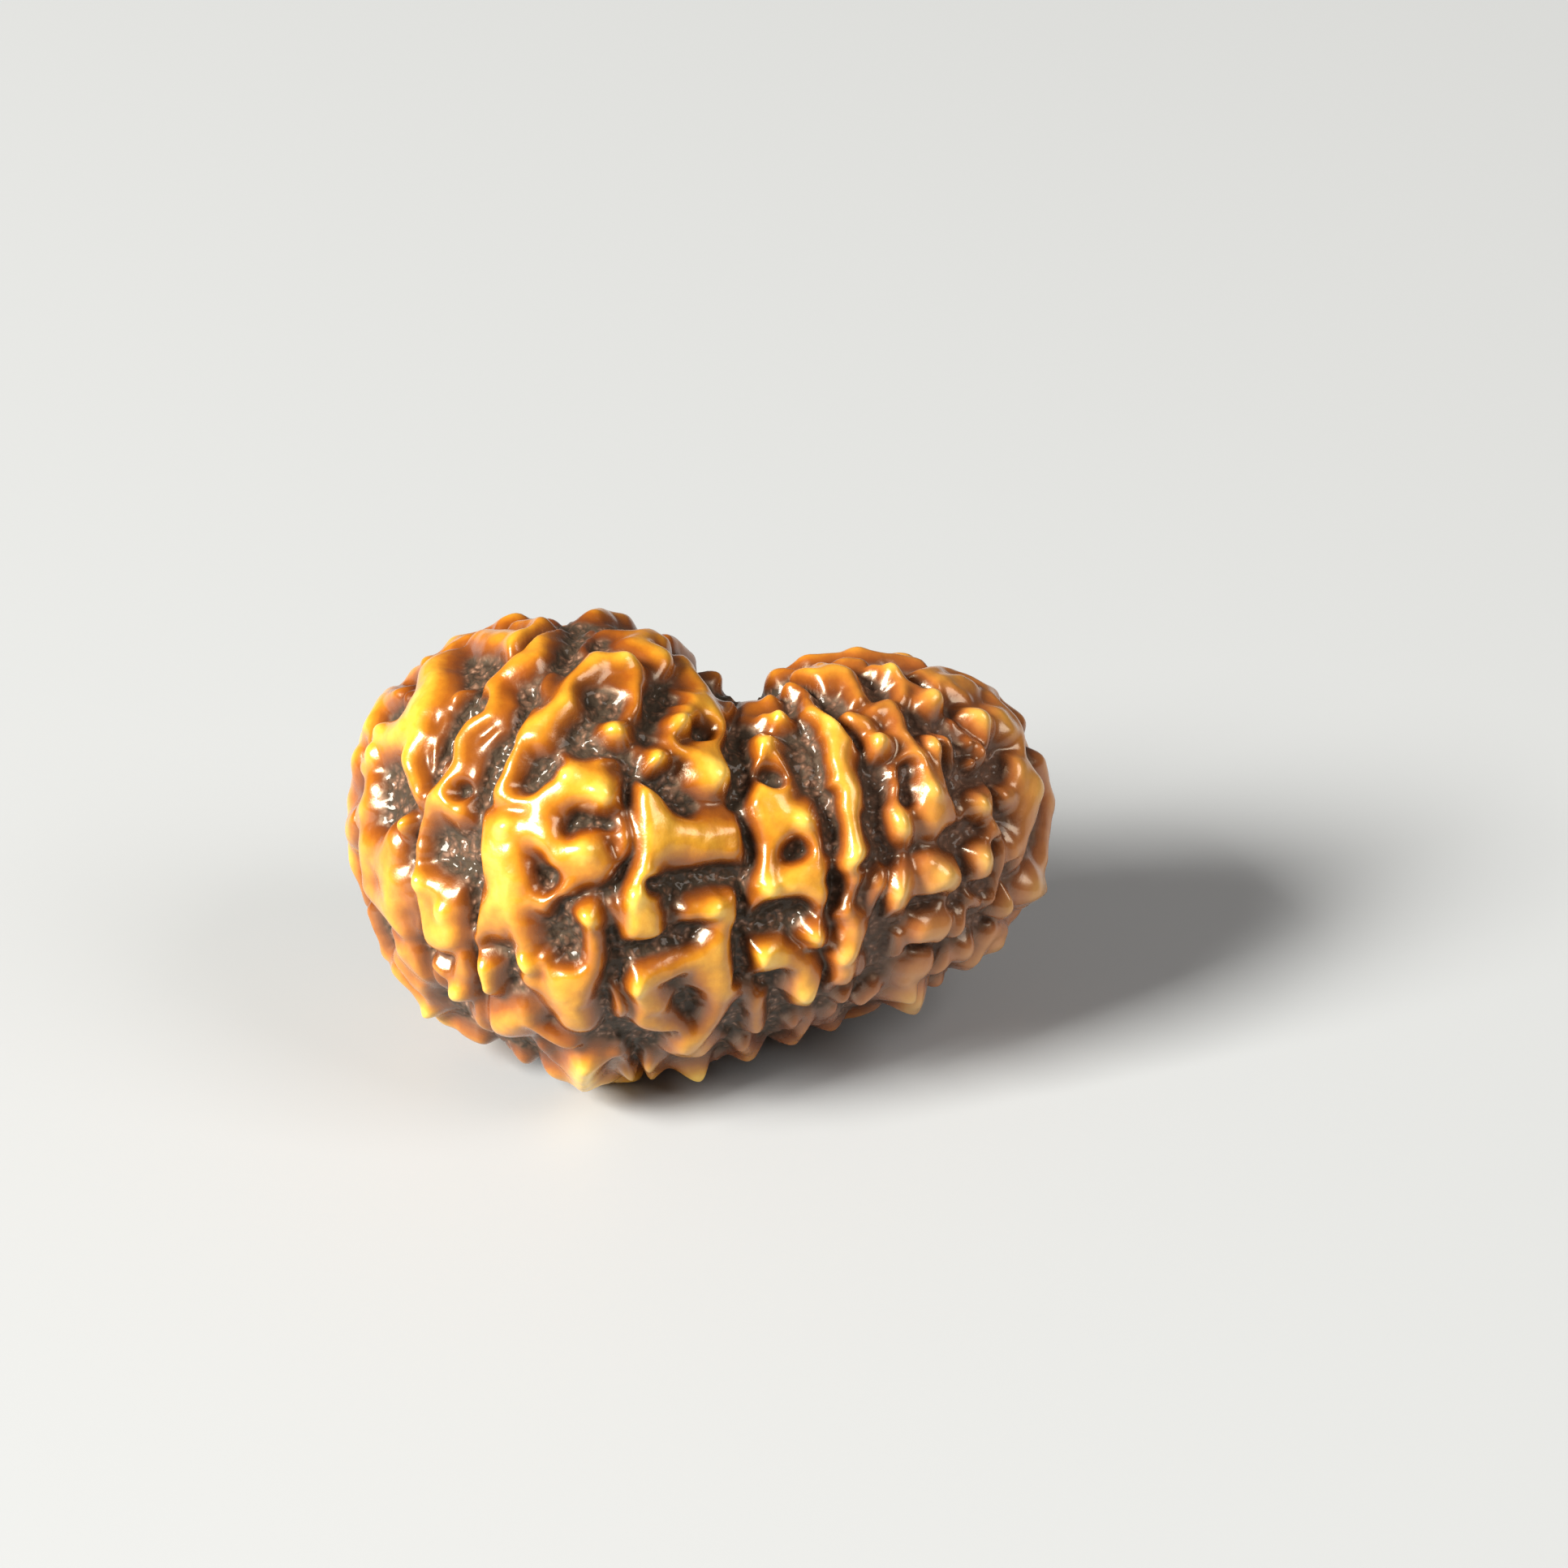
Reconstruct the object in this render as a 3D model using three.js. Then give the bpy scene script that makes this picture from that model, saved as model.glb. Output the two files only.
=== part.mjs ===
// A fifteen-faced rudraksha bead: the dried stone of a fruit, grown as one solid piece.
// It is a kidney-shaped body with a large and a small lobe, lying on its side with the
// notch up and to the back. Fifteen furrows run over it from the stalk end in the notch
// to the tip underneath, and part its warty surface into fifteen faces.
// Millimetres, +Z up, +X along the bead towards the small lobe, -Y to the front.
// The origin is on the ground below the middle of the bead.
import * as THREE from "three";
import { mergeVertices } from "three/addons/utils/BufferGeometryUtils.js";

const { lerp, smoothstep, degToRad, euclideanModulo } = THREE.MathUtils;

// The body, measured to the floor of the pits between the ridges.
const HALF_LENGTH = 14.1;
const LARGE_RADIUS = 9.55;
const SMALL_RADIUS = 7.65;
const LARGE_CENTRE = 9.78; // height of the large lobe's middle
const SMALL_CENTRE = 9.2;
const WAIST = [-6.5, 4]; // where along X the large lobe turns into the small one
const BLUNTNESS = 2.4; // 2 gives the ends of an ellipsoid, more gives blunter ones
const SPINE_BOW = 3; // how far the ends bend back
const SMALL_LOBE_BACK = 1.2; // how far the small lobe sits behind the large one
const MIDDLE_BACK = -0.6;
const END_DROOP = 0.7; // how far the large lobe's end sinks
const BELLY = { x: 1.5, drop: 0.6, width: 3.5 }; // the underside sags opposite the notch
const NOTCH = { x: 1.45, depth: 1.7, width: 2.4, lean: 50 }; // lean: degrees back from straight up
const FOOT = { x: -1.6, y: 0.45, radius: 2.3, edge: 1.3 }; // the flat spot under the bead's weight

// The furrows run from pole to pole. Leans are in degrees back from straight up and from
// straight down, and a furrow's bearing is the angle at which it leaves the stalk end.
const STALK_END = { x: 0, lean: 54 };
const TIP = { x: -0.04, lean: 24 };
const FURROWS = [4, 53, 103, 154, 201, 225, 243, 250.6, 264.2, 274.1, 281.7, 286.4, 295.3, 302.1, 323];
const FURROW_HALF_WIDTH = 0.25;
const FURROW_DEPTH = 0.18;

// Ridges and warts: half width at half height, then height over the pit floor.
const KINDS = {
  plate: [0.85, 0.95],
  wide: [0.68, 1],
  main: [0.54, 0.95],
  narrow: [0.42, 0.88],
  fine: [0.3, 0.7],
  low: [0.48, 0.55],
  spike: [0.8, 1.5],
  knob: [0.66, 1.2],
};
const PROUD = { spike: 1.4, knob: 2.6 }; // steepness of the kinds that stand above the others
const CREST = 0.9; // the height at which ridges are laid out
const SHOULDER_SHARE = 0.4; // the part of a ridge's height that is its wide shoulder
const SHOULDER_WIDTH = 1.6; // in half widths
const RIDGE_REACH = 3; // in half widths
const MERGING = 3; // less fills the space between ridges that lie close more
const MOST_RELIEF = 1.2;
const SWELL = 0.2; // how much ridges widen and narrow on their way

// The front drawing: crest lines as seen from the front, looking down at TILT degrees from
// EYE, in millimetres on an upright drawing plane through DRAWING_ORIGIN. A single point is
// a wart.
const TILT = degToRad(32);
const EYE = new THREE.Vector3(3.55, -291.4, 194.6);
const DRAWING_ORIGIN = new THREE.Vector3(0, -5, 2.28);
const DRAWING_UP = new THREE.Vector3(0, Math.sin(TILT), Math.cos(TILT));
const SIGHT = new THREE.Vector3(0, Math.cos(TILT), -Math.sin(TILT));
const FRONT = {
  plate: [
    [[-13.3, 13.4], [-12.2, 13.6], [-11.7, 14.8], [-11.4, 16.4]],
    [[-14.1, 8.5], [-13.6, 7.4], [-13.2, 6.2]],
    [[-8.9, 8.2], [-8.7, 6.8], [-8.6, 5.6]],
    [[-12.5, 3.9], [-11.8, 3.1]],
    [[-9.3, 1], [-8.1, 0.9]],
    [[-6.1, 2.6], [-5.4, 1.5]],
    [[-2.6, 6.4], [-2.6, 5.4]],
    [[-2.6, 2.4], [-1.9, 1.7]],
    [[-1.8, 17], [-1.3, 16.6]],
    [[0.1, 12.1], [0.8, 11.9]],
    [[0.1, 14.8], [0.4, 14.6]],
    [[3.3, 10.6], [4.3, 10]],
    [[3.2, 7.2], [4.6, 7.2]],
    [[4.3, 2.3], [4.8, 2.3]],
    [[0.5, 3.4], [0.9, 2.6]],
    [[4.4, 16], [5.8, 16.3]],
    [[5.6, 14.1]],
    [[10.2, 15.9], [11.5, 15.6]],
    [[12.9, 14.2], [13.3, 13.7]],
    [[14, 11.6], [14.1, 10.8]],
    [[9.8, 11.1], [10, 10.4]],
    [[8.4, 7.1], [8.5, 6.5]],
    [[10.2, 7.4], [10.6, 7.3]],
    [[9.9, 5.1], [10.7, 5.1]],
    [[9.1, 3.2], [10.1, 3.3]],
    [[12.3, 4.5]],
    [[14, 6.9]],
  ],
  wide: [
    [[6, 13], [5.9, 12.2], [6.1, 11.4]],
    [[6.4, 10.6], [6.5, 9.2], [6.6, 8.4]],
    [[6.3, 4.5], [6.3, 3.4]],
    [[2.8, 4], [2.9, 3.7]],
    [[7.5, 13.1]],
    [[11.6, 14.2], [12, 14]],
    [[12, 8.2], [12.1, 7.8]],
    [[13.1, 8.6], [13.3, 7.9]],
    [[12.9, 6.4], [12.9, 5.9]],
    [[-14.4, 10], [-14.9, 9.8]],
    [
      [-13.4, 13.5], [-12.4, 13.6], [-11.7, 14.6], [-11.5, 15.8], [-11.1, 16.9], [-10.3, 17.6],
      [-9.3, 17.8], [-8.4, 17.6], [-7.6, 17.4],
    ],
    [[-12.5, 12.6], [-12, 13.4], [-12.1, 14.8]],
    [[-11, 10.7], [-10.4, 10.3]],
    [[-12, 7.1], [-11.4, 6.8], [-11, 6.4], [-10.8, 5.8], [-10.8, 5]],
    [[-11.9, 6], [-11.6, 5.4]],
    [[-11.8, 4.8], [-10.8, 4.7]],
    [[-13.3, 8.8], [-13.4, 8], [-13.2, 7.2], [-13, 6.4]],
    [[-14.4, 8.8], [-14.3, 7.8], [-14.3, 7], [-13.8, 6.3], [-13.2, 5.7], [-12.8, 5.2]],
    [[-12.7, 3.4], [-12.3, 2.9]],
    [[-9.1, 9.5], [-8.3, 9.7]],
    [[-9.1, 8.8], [-8, 9.4], [-7.2, 9.8]],
    [[-9, 8.2], [-8.5, 7.4], [-8.6, 6.6]],
    [[-8.2, 8.6], [-7.4, 9], [-6.7, 9.2]],
    [[-8.1, 8.2], [-7.9, 7.4]],
    [[-5.4, 3], [-5.5, 2.2], [-5.3, 1.5], [-5.2, 1]],
    [[-9.2, 1.3], [-8.4, 1.1], [-7.5, 1.3]],
    [[-7.7, 17.4], [-7, 17.9], [-6.8, 18.2]],
    [[-7.8, 16.7], [-7.1, 16.9], [-6.9, 17.5]],
    [[-2.6, 17.5], [-2, 17.8], [-1.4, 17.4], [-0.9, 17], [-0.5, 16.6]],
    [[-1.7, 16.9], [-1.2, 16.6]],
    [[-8, 10.7], [-7, 10.7], [-6.1, 10.9], [-5.3, 11.2], [-4.4, 11]],
    [[-5.6, 12], [-5.5, 11.5]],
    [[-4.6, 11.6], [-4, 11.2]],
    [[-5.9, 8], [-5, 7.9], [-4.2, 8.1]],
    [[-2.6, 11], [-2.6, 10.2], [-2.7, 9.4], [-2.7, 8.6], [-2.6, 7.8]],
    [[-2, 10.9], [-1.9, 10], [-1.9, 9.1], [-2.1, 8.2], [-2.3, 7.6]],
    [[-1.8, 9.4], [-0.8, 9.4], [0.4, 9.4], [1.4, 9.3]],
    [[-1.4, 8.7], [-0.4, 8.8], [0.6, 8.6], [1.4, 8.5]],
    [[-2.3, 6.9], [-2.3, 6], [-2.2, 5.2]],
    [[-0.6, 0.1], [0.1, -0.1]],
    [[9.4, 12.3], [9.7, 11.6], [9.7, 10.9], [9.9, 10.2], [10.1, 9.8]],
    [[13.6, 11.9], [14.2, 11.3], [14.2, 10.4], [14, 9.6], [13.8, 9], [14, 8.4]],
    [[8.4, 6.9], [8.4, 6.5]],
    [[12.7, 14.2], [13.1, 13.7]],
  ],
  main: [
    [[5, 5.2], [5, 4.6]],
    [[10.1, 13.2]],
    [[11.5, 4.1], [11.5, 3.6]],
    [[-12.5, 12.5], [-12.3, 11.5], [-12, 10.9]],
    [
      [-8, 16.4], [-8.7, 16], [-8.9, 15.2], [-9.1, 14.5], [-9.9, 13.8], [-10.3, 13.2],
      [-10.4, 12.4], [-10.8, 11.7], [-11.2, 10.9], [-11.8, 10.3], [-12.1, 9.7],
    ],
    [[-12.3, 9.2], [-12.2, 8.4], [-12.3, 7.6]],
    [[-14.4, 12], [-14.2, 13], [-14, 14.2], [-13.5, 14.9], [-12.8, 15.4]],
    [[-14.3, 12], [-14.2, 11.2], [-14.3, 10.5]],
    [[-9.4, 3.5], [-9.2, 3], [-9.2, 2.7]],
    [[-8.5, 6.7], [-8, 6], [-7.7, 5.2], [-7.5, 4.3], [-7.4, 3.5], [-7.4, 3]],
    [
      [-4.5, 16.7], [-5, 16.1], [-5.6, 15.5], [-6.2, 14.8], [-6.9, 14.1], [-7.5, 13.6],
      [-7.9, 13], [-8.2, 12.3], [-8.3, 11.6], [-8.6, 10.9],
    ],
    [[-5.8, 14.8], [-6.3, 14.1], [-6.9, 13.4]],
    [
      [-4.6, 16.6], [-4.1, 16.8], [-3.3, 16.8], [-2.7, 16.5], [-2.5, 15.9], [-2.6, 15.2],
      [-2.9, 14.9],
    ],
    [[-6.5, 9.1], [-6, 8.6], [-5.4, 8.4], [-4.7, 8.5], [-4.3, 8.7]],
    [[-2.6, 7.5], [-2.5, 7]],
    [[-3.1, 6.3], [-2.9, 5.7], [-2.8, 5.2]],
    [
      [-0.4, 16.2], [0.1, 15.6], [0.3, 15], [0.5, 14.5], [0.9, 13.9], [0.9, 13.3], [0.7, 12.7],
      [0.4, 12.2], [0.5, 11.7],
    ],
    [[0.2, 11.8], [0.7, 11.7]],
    [[-2.1, 12.6], [-1.6, 12.7]],
    [
      [-0.2, 5.9], [0.6, 5.9], [1.1, 5.5], [1, 4.8], [0.4, 4.1], [-0.3, 3.7], [-1.1, 3.4],
      [-2, 3.1], [-2.7, 2.9],
    ],
    [[-2.9, 2.8], [-3, 2.1], [-2.9, 1.4], [-2.4, 1], [-1.7, 0.9], [-1, 0.7], [-0.3, 0.4]],
    [[1, 4.2], [0.9, 3.2], [0.9, 2.3], [0.7, 1.4], [0.3, 0.7], [-0.3, 0.3]],
    [
      [3.1, 11], [3.7, 10.5], [4.4, 10.1], [4.6, 9.6], [4.7, 9], [4.9, 8.4], [4.9, 7.8],
      [4.4, 7.4], [3.8, 7.1], [3.2, 6.8],
    ],
    [[3.6, 10], [3.4, 9.4]],
    [[4.7, 7], [5.2, 6.6], [5.3, 7.2]],
    [[4.9, 14.5], [5.4, 14.2], [5.8, 14], [5.6, 13.5]],
    [[6.4, 14.3], [7, 14]],
    [[6.5, 8.6], [6.6, 8]],
    [[3.8, 3.7], [4.5, 3.4], [4.7, 2.7], [4.6, 2]],
    [[2.8, 4.1], [3.3, 3.9]],
    [[4.2, 0.9], [4.1, 0.4]],
    [[12.2, 10.3]],
    [[12, 8.1], [12.2, 7.8]],
    [[14.1, 7.3], [14.2, 6.7]],
    [[9.8, 7.9], [10.1, 7.4], [10.8, 7.2]],
    [[9.6, 5], [10.4, 5], [11.1, 5]],
    [[8.6, 9.8], [8.8, 9.4]],
  ],
  narrow: [
    [[-10.3, 15.2], [-9.3, 15.8]],
    [[-11.9, 2.6], [-11.6, 2], [-11.5, 1.6]],
    [[-11.4, 3.5], [-11, 3.2]],
    [[-10.2, 3.7], [-10.3, 3], [-10.4, 2.3]],
    [[-8.6, 6.6], [-9.2, 6.1], [-9.5, 5.4], [-9.7, 4.7], [-9.9, 4.2]],
    [[-6.8, 3.8], [-6.3, 3], [-5.8, 2.3]],
    [[-4.5, 6], [-4.6, 5.2], [-4.6, 4.4], [-4.6, 3.6], [-4.8, 2.8], [-5, 2]],
    [[-7.2, 0.9], [-6.4, 0.4], [-5.5, 0]],
    [[-8.4, 18.3], [-7.4, 18.4], [-6.4, 18.3]],
    [[-3.8, 13.7], [-3.1, 13.9]],
    [[-7.2, 6.4], [-6.5, 6.2], [-6, 6.5], [-5.6, 7]],
    [[-1.8, 5.6], [-1.8, 5.1]],
    [[-0.6, 14.4], [-1, 13.9], [-1.1, 13.4], [-0.8, 12.9], [-0.2, 12.5]],
    [[-0.6, 14.5], [-0.1, 14.9]],
    [[1.4, 6.3], [1.3, 5.8]],
    [[2.8, 11.1], [2.6, 10.4], [2.8, 9.6], [2.9, 8.8], [2.9, 8], [2.9, 7.3], [3, 6.7]],
    [[3.4, 6.5], [4, 6.7]],
    [[2.6, 6.2], [3, 6.2]],
    [[3.2, 12.9], [3.5, 12.5], [3.8, 12], [3.8, 11.4], [3.5, 11]],
    [[2.6, 13.5], [2.7, 13], [2.6, 12.5]],
    [[2.8, 14.4], [3.4, 14.3], [3.6, 13.9]],
    [[3, 15.2], [3.5, 15.5], [4.2, 15.8], [4.7, 15.6], [4.7, 15.1]],
    [[3.9, 16.1], [5, 16.1], [5.8, 16.3], [6.3, 16.1], [6.5, 15.5], [6.8, 15.1]],
    [[3.9, 16.5], [5.2, 16.6], [6.2, 16.8], [6.8, 16.7]],
    [
      [6.1, 13.2], [5.9, 12.6], [5.8, 11.9], [6.1, 11.3], [6.4, 10.7], [6.4, 9.9], [6.4, 9.2],
      [6.5, 8.5], [6.6, 7.9], [6.8, 7.3],
    ],
    [[5.3, 5.7], [5.2, 5], [5.4, 4.5]],
    [[4.3, 2.8], [4.4, 2.2]],
    [[2.3, 2.3], [2.4, 1.6], [2.4, 0.7]],
    [[1.8, 0], [2.1, -0.5]],
    [[6.2, 5.7], [6.5, 5.2], [6.4, 4.5], [6.3, 3.8], [6.3, 3]],
    [[5.4, 0.8], [6, 1.5]],
    [[6.3, 2], [7, 1.9], [7.5, 2.3]],
    [[8.7, 15.8], [8.4, 15.1], [8.5, 14.3], [8.5, 13.7], [9, 13.1], [9.4, 12.4]],
    [[8.3, 15], [7.6, 14.5]],
    [[7.4, 16.4], [8.2, 16.2]],
    [[7.4, 13.2], [7.7, 12.9]],
    [[8.4, 11.2], [8.4, 10.6], [8.5, 10], [8.8, 9.5]],
    [[10.3, 13.3], [10.5, 12.4], [10.7, 11.5], [10.9, 10.6], [11.1, 9.8]],
    [[9.5, 15.1], [10.1, 15.3]],
    [
      [9.4, 16.2], [10.2, 16.4], [10.9, 16.2], [11.6, 15.9], [12.2, 15.5], [12.7, 14.9],
      [13.4, 14.2], [13.7, 13.5], [13.8, 12.8],
    ],
    [[11.5, 14.3], [12, 14.1], [12.1, 13.5], [12.2, 12.9]],
    [[12.7, 10.8], [13.4, 10.8]],
    [[12.6, 9.4], [13, 8.8], [13.2, 8.1], [13.3, 7.5], [13.1, 7]],
    [[10, 6.9], [10.6, 6.9]],
    [[12.8, 6.6], [12.9, 6], [13, 5.6]],
    [[11.4, 4.1], [11.5, 3.4]],
    [[12, 4.3], [12.5, 4.9], [12.9, 4.9]],
    [[8.8, 2.8], [8.9, 2.2]],
  ],
  fine: [
    [[-13.3, 4.9], [-12.9, 4.4]],
    [[-12.6, 4.4], [-13, 3.8]],
    [[-11.8, 3.5], [-11.7, 2.9]],
    [[-6.8, -0.2], [-6.2, -0.7], [-5.6, -0.9]],
    [[-4.2, -0.6], [-3.6, -0.4]],
    [[-4.6, 18.3], [-4.8, 18], [-5.2, 17.5]],
    [[-4.3, 18.2], [-3.4, 18.1], [-2.6, 18], [-1.9, 17.9]],
    [[-3.7, 12.4]],
    [[-4.3, 12.4]],
    [[-3.9, 13.3]],
    [[-1.8, 13.8]],
    [[-3.2, -0.1], [-2.9, -0.8]],
    [[-1.3, -0.2], [-0.7, -0.3]],
    [[2.1, 10.5]],
    [[2.4, 12.3], [2.9, 12.1]],
    [[1.45, 14.9], [1.45, 14.5]],
    [[5.1, 13.1]],
    [[5.2, 12.5]],
    [[6.5, 13.4]],
    [[5.4, 11.3]],
    [[3, 11.8]],
    [[6.8, 7], [6.5, 6.4], [6.3, 6.1]],
    [[5.6, 3.8], [5.6, 3]],
    [[7.3, 3.6], [7.1, 3]],
    [[7.3, 16.7], [8.5, 16.5]],
    [[9.2, 15.7], [10.2, 15.8], [11, 15.9]],
    [[10.8, 15.5], [11.2, 15.3], [11.5, 15.1]],
    [[11.1, 14.3]],
    [[11.7, 12.4]],
    [[11.6, 13.3]],
    [[11.5, 6.4], [12, 6]],
    [[8.4, 4.6], [8.4, 3.9]],
    [[7.8, 10.2]],
    [[8.4, 11.9]],
    [[8.9, 11.5]],
  ],
  low: [
    [[-10.8, 15.4], [-11, 14.5], [-11.5, 13.1], [-11.4, 12.2]],
    [[-8.2, 15], [-8.8, 13.9], [-9.6, 12.9], [-9.9, 11.8]],
    [[-6.5, 16.3], [-6.8, 15.6]],
    [[-7.3, 14.6], [-8.1, 14]],
    [[-5.5, 12.7], [-4.4, 12.5]],
    [[-10, 3.4], [-9.8, 2.7]],
    [[-3.4, 16.1], [-3.3, 15.5]],
    [[-5, 7.4], [-4.4, 7.6]],
    [[-4.1, 9.4], [-3.7, 9.3]],
    [[-2.3, 2.1], [-1.7, 1.8]],
    [[-2.2, -0.6], [-1.5, -0.7]],
    [[0.7, 10.2], [1.6, 10.3]],
    [[1.9, 15.2], [2, 14.6]],
    [[1, 15.1], [2.6, 15.2]],
    [[2.5, 14.9], [3.3, 15]],
    [[3, -0.1], [3.8, -0.1]],
    [[8.7, 3.3], [9.6, 3.4], [10.3, 3.4]],
    [[10, 14.4]],
  ],
  knob: [
    [[-14, 12.6]],
    [[-13.6, 13.5]],
    [[-11.9, 7.1]],
    [[-11, 5.9]],
    [[-12.6, 9.6]],
    [[-9.2, 3.5], [-9.2, 2.9]],
    [[-10.3, 2.4]],
    [[-7.5, 3.7]],
    [[-8.3, 9.5]],
    [[-5.5, 11.8]],
    [[-4.2, 10.9]],
    [[-4.8, 8.4]],
    [[-4.7, 5.6]],
    [[-3.5, 13.6]],
    [[-3.2, 16.7]],
    [[-2, 12.6]],
    [[-2.9, 6.4]],
    [[-2.9, 2.6]],
    [[-0.9, 14]],
    [[0.6, 11.8]],
    [[0.6, 5.9]],
    [[2.9, 13.1]],
    [[3.4, 14.2]],
    [[4.5, 9.8]],
    [[3, 7]],
    [[2.8, 4]],
    [[5, 4.9]],
    [[4.5, 2.4]],
    [[5.8, 14.1]],
    [[6.3, 4.1]],
    [[6.6, 8.3]],
    [[7.5, 13.1]],
    [[8.2, 16.1]],
    [[8.6, 9.6]],
    [[8.4, 6.8]],
    [[10.4, 7.4]],
    [[10.1, 13.1]],
    [[9.8, 11]],
    [[9.9, 15.1]],
    [[11.8, 14]],
    [[12, 8.1]],
    [[12, 10.4]],
    [[11.5, 3.8]],
    [[12.9, 6.2]],
    [[12.4, 4.5]],
    [[14.2, 11.2]],
  ],
  spike: [
    [[14, 7], [14.2, 6.9]],
    [[8.9, 2.4], [8.8, 2]],
    [[-4.9, -0.6], [-4.8, -1.2]],
    [[-0.1, -0.9], [-0.2, -1.4]],
    [[-2.6, -0.9], [-2.4, -1.4]],
    [[-11.5, 1.6]],
  ],
};

// Pits between the ridges of the front drawing, by half width.
const PIT_KINDS = { hollow: 0.72, hole: 0.5, valley: 0.38, slit: 0.22 };
const PITS = {
  hollow: [
    [[-11, 8.6], [-10.5, 8.3]],
    [[-13.4, 11.6], [-13.4, 10.7]],
    [[-9.7, 16.2], [-9.3, 16.9]],
    [[-4.4, 15.2], [-3.8, 15.1]],
    [[-5.1, 13.4], [-3.7, 13.2]],
    [[3, 5.6], [4.2, 5.5]],
    [[4.5, 12.9], [4.6, 11.9]],
    [[14.2, 8.6], [14.4, 8.9]],
  ],
  hole: [
    [[-7.5, 15.3]],
    [[-5.7, 16.8], [-5.7, 17.4]],
    [[-5.3, 9.6]],
    [[-6.7, 7.35]],
    [[-7.3, 11.5], [-6.4, 12.1]],
    [[-2, 11.8], [-0.5, 10.6]],
    [[-5.7, 3.8], [-5.8, 5.8]],
    [[-0.5, 1.9]],
    [[-0.5, 4.8]],
    [[0.3, 13.7]],
    [[3, 11.8]],
    [[3.4, 13.4], [4.3, 13.9]],
    [[4.1, 8.4]],
    [[4.3, 4.7]],
    [[2.8, 2.7]],
    [[7.6, 11.9], [7.6, 10.9]],
    [[7.7, 4.6], [7.8, 3.8]],
    [[9.6, 14.3], [10.4, 14.1]],
    [[12.9, 12.5], [13, 11.9]],
    [[11.6, 11.6]],
    [[11, 8.9], [11.9, 9.2]],
    [[8.1, 8.3]],
  ],
  valley: [
    [[-11, 13.4], [-10.2, 14.5], [-9.5, 15.1]],
    [[-8.4, 13.2], [-8.9, 12.6], [-9.2, 11.8], [-9.3, 10.8]],
    [[-13.2, 10.6], [-13.8, 9.9]],
    [[-13, 14.7]],
    [[-10.4, 11.2]],
    [[-8.4, 3.3]],
    [[-3.4, 3.7], [-1.8, 4.3], [-0.8, 4.8]],
    [[-2, 6.9], [-0.6, 7.3], [0.6, 7.4], [1.7, 7.4]],
    [[-3, 0.2], [-1.2, 0.5]],
    [[-1.2, 15.5], [-0.9, 15.2]],
    [[1.6, 14], [1.5, 12.8], [1.7, 11.4], [1.8, 10.6]],
    [[5.1, 15.4], [5.9, 14.9]],
    [[5.5, 10.7], [5.6, 9.6], [5.6, 8.7]],
    [[3.3, 1.9], [3.4, 1]],
    [[7.4, 10], [7.4, 9], [7.2, 8]],
    [[5.9, 7.2]],
    [[9.1, 12], [8.9, 10.8]],
    [[12, 6.8], [12.5, 6.7]],
    [[9.5, 6.1], [10.2, 6.2]],
    [[11.1, 6]],
  ],
  slit: [
    [[-3.8, 6.9], [-3.7, 4.6], [-3.8, 2.4], [-3.8, 0.6]],
    [[-9.9, 7.6], [-9.9, 5]],
    [[-4.8, 9.7], [-3.8, 9.7]],
    [[-12.6, 8.4]],
    [[1.8, 6.9], [1.9, 4.2], [1.6, 2.8]],
    [[9.1, 4.2], [10.5, 4.2]],
    [[12.75, 8.8], [12.75, 7.5]],
    [[11.6, 4.8], [12.6, 5.3]],
    [[13.4, 7.9], [13.4, 7]],
  ],
};

// The sides the drawing does not show: warts at seeded places, joined to some neighbours of
// the same face.
const SEED = 15;
const WART_TRIES = 6000;
const WART_SPACING = 1.75;
const JOIN_REACH = 2.9;
const JOINED_LARGE = 0.8; // share of near neighbours joined on the large lobe
const JOINED_SMALL = 0.45;
const JOIN_KINDS = ["wide", "wide", "main", "narrow"];

// Mesh: each edge of an icosahedron is split into this many parts.
const EDGE_PARTS = 24;

// A cross-section of the body at x: its radius before the notch, and its centre.
function sectionAt(x, lift) {
  const lobe = smoothstep(x, WAIST[0], WAIST[1]);
  const share = x / (HALF_LENGTH + lift);
  const end = Math.pow(Math.max(1 - Math.pow(Math.abs(share), BLUNTNESS), 0), 1 / BLUNTNESS);
  const sag = BELLY.drop * Math.exp(-(((x - BELLY.x) / BELLY.width) ** 2));
  return {
    radius: (lerp(LARGE_RADIUS, SMALL_RADIUS, lobe) + lift) * end,
    y: SPINE_BOW * share * share + SMALL_LOBE_BACK * lobe + MIDDLE_BACK,
    z: lerp(LARGE_CENTRE, SMALL_CENTRE, lobe) - sag - END_DROOP * Math.max(-share, 0) ** 2,
  };
}

// How much the notch takes off the radius, in the direction (y, z) from the centre.
function notchAt(x, y, z) {
  const lean = degToRad(NOTCH.lean);
  const towards = Math.max(y * Math.sin(lean) + z * Math.cos(lean), 0) ** 1.5;
  return NOTCH.depth * Math.exp(-(((x - NOTCH.x) / NOTCH.width) ** 2)) * towards;
}

// The body's point for a unit vector q. A lift swells the whole body.
function bodyPoint(q, lift = 0) {
  const x = (HALF_LENGTH + lift) * q.x;
  const ring = Math.max(Math.hypot(q.y, q.z), 1e-9);
  const y = q.y / ring;
  const z = q.z / ring;
  const section = sectionAt(x, lift);
  const radius = section.radius - notchAt(x, y, z);
  return new THREE.Vector3(x, section.y + radius * y, section.z + radius * z);
}

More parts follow.
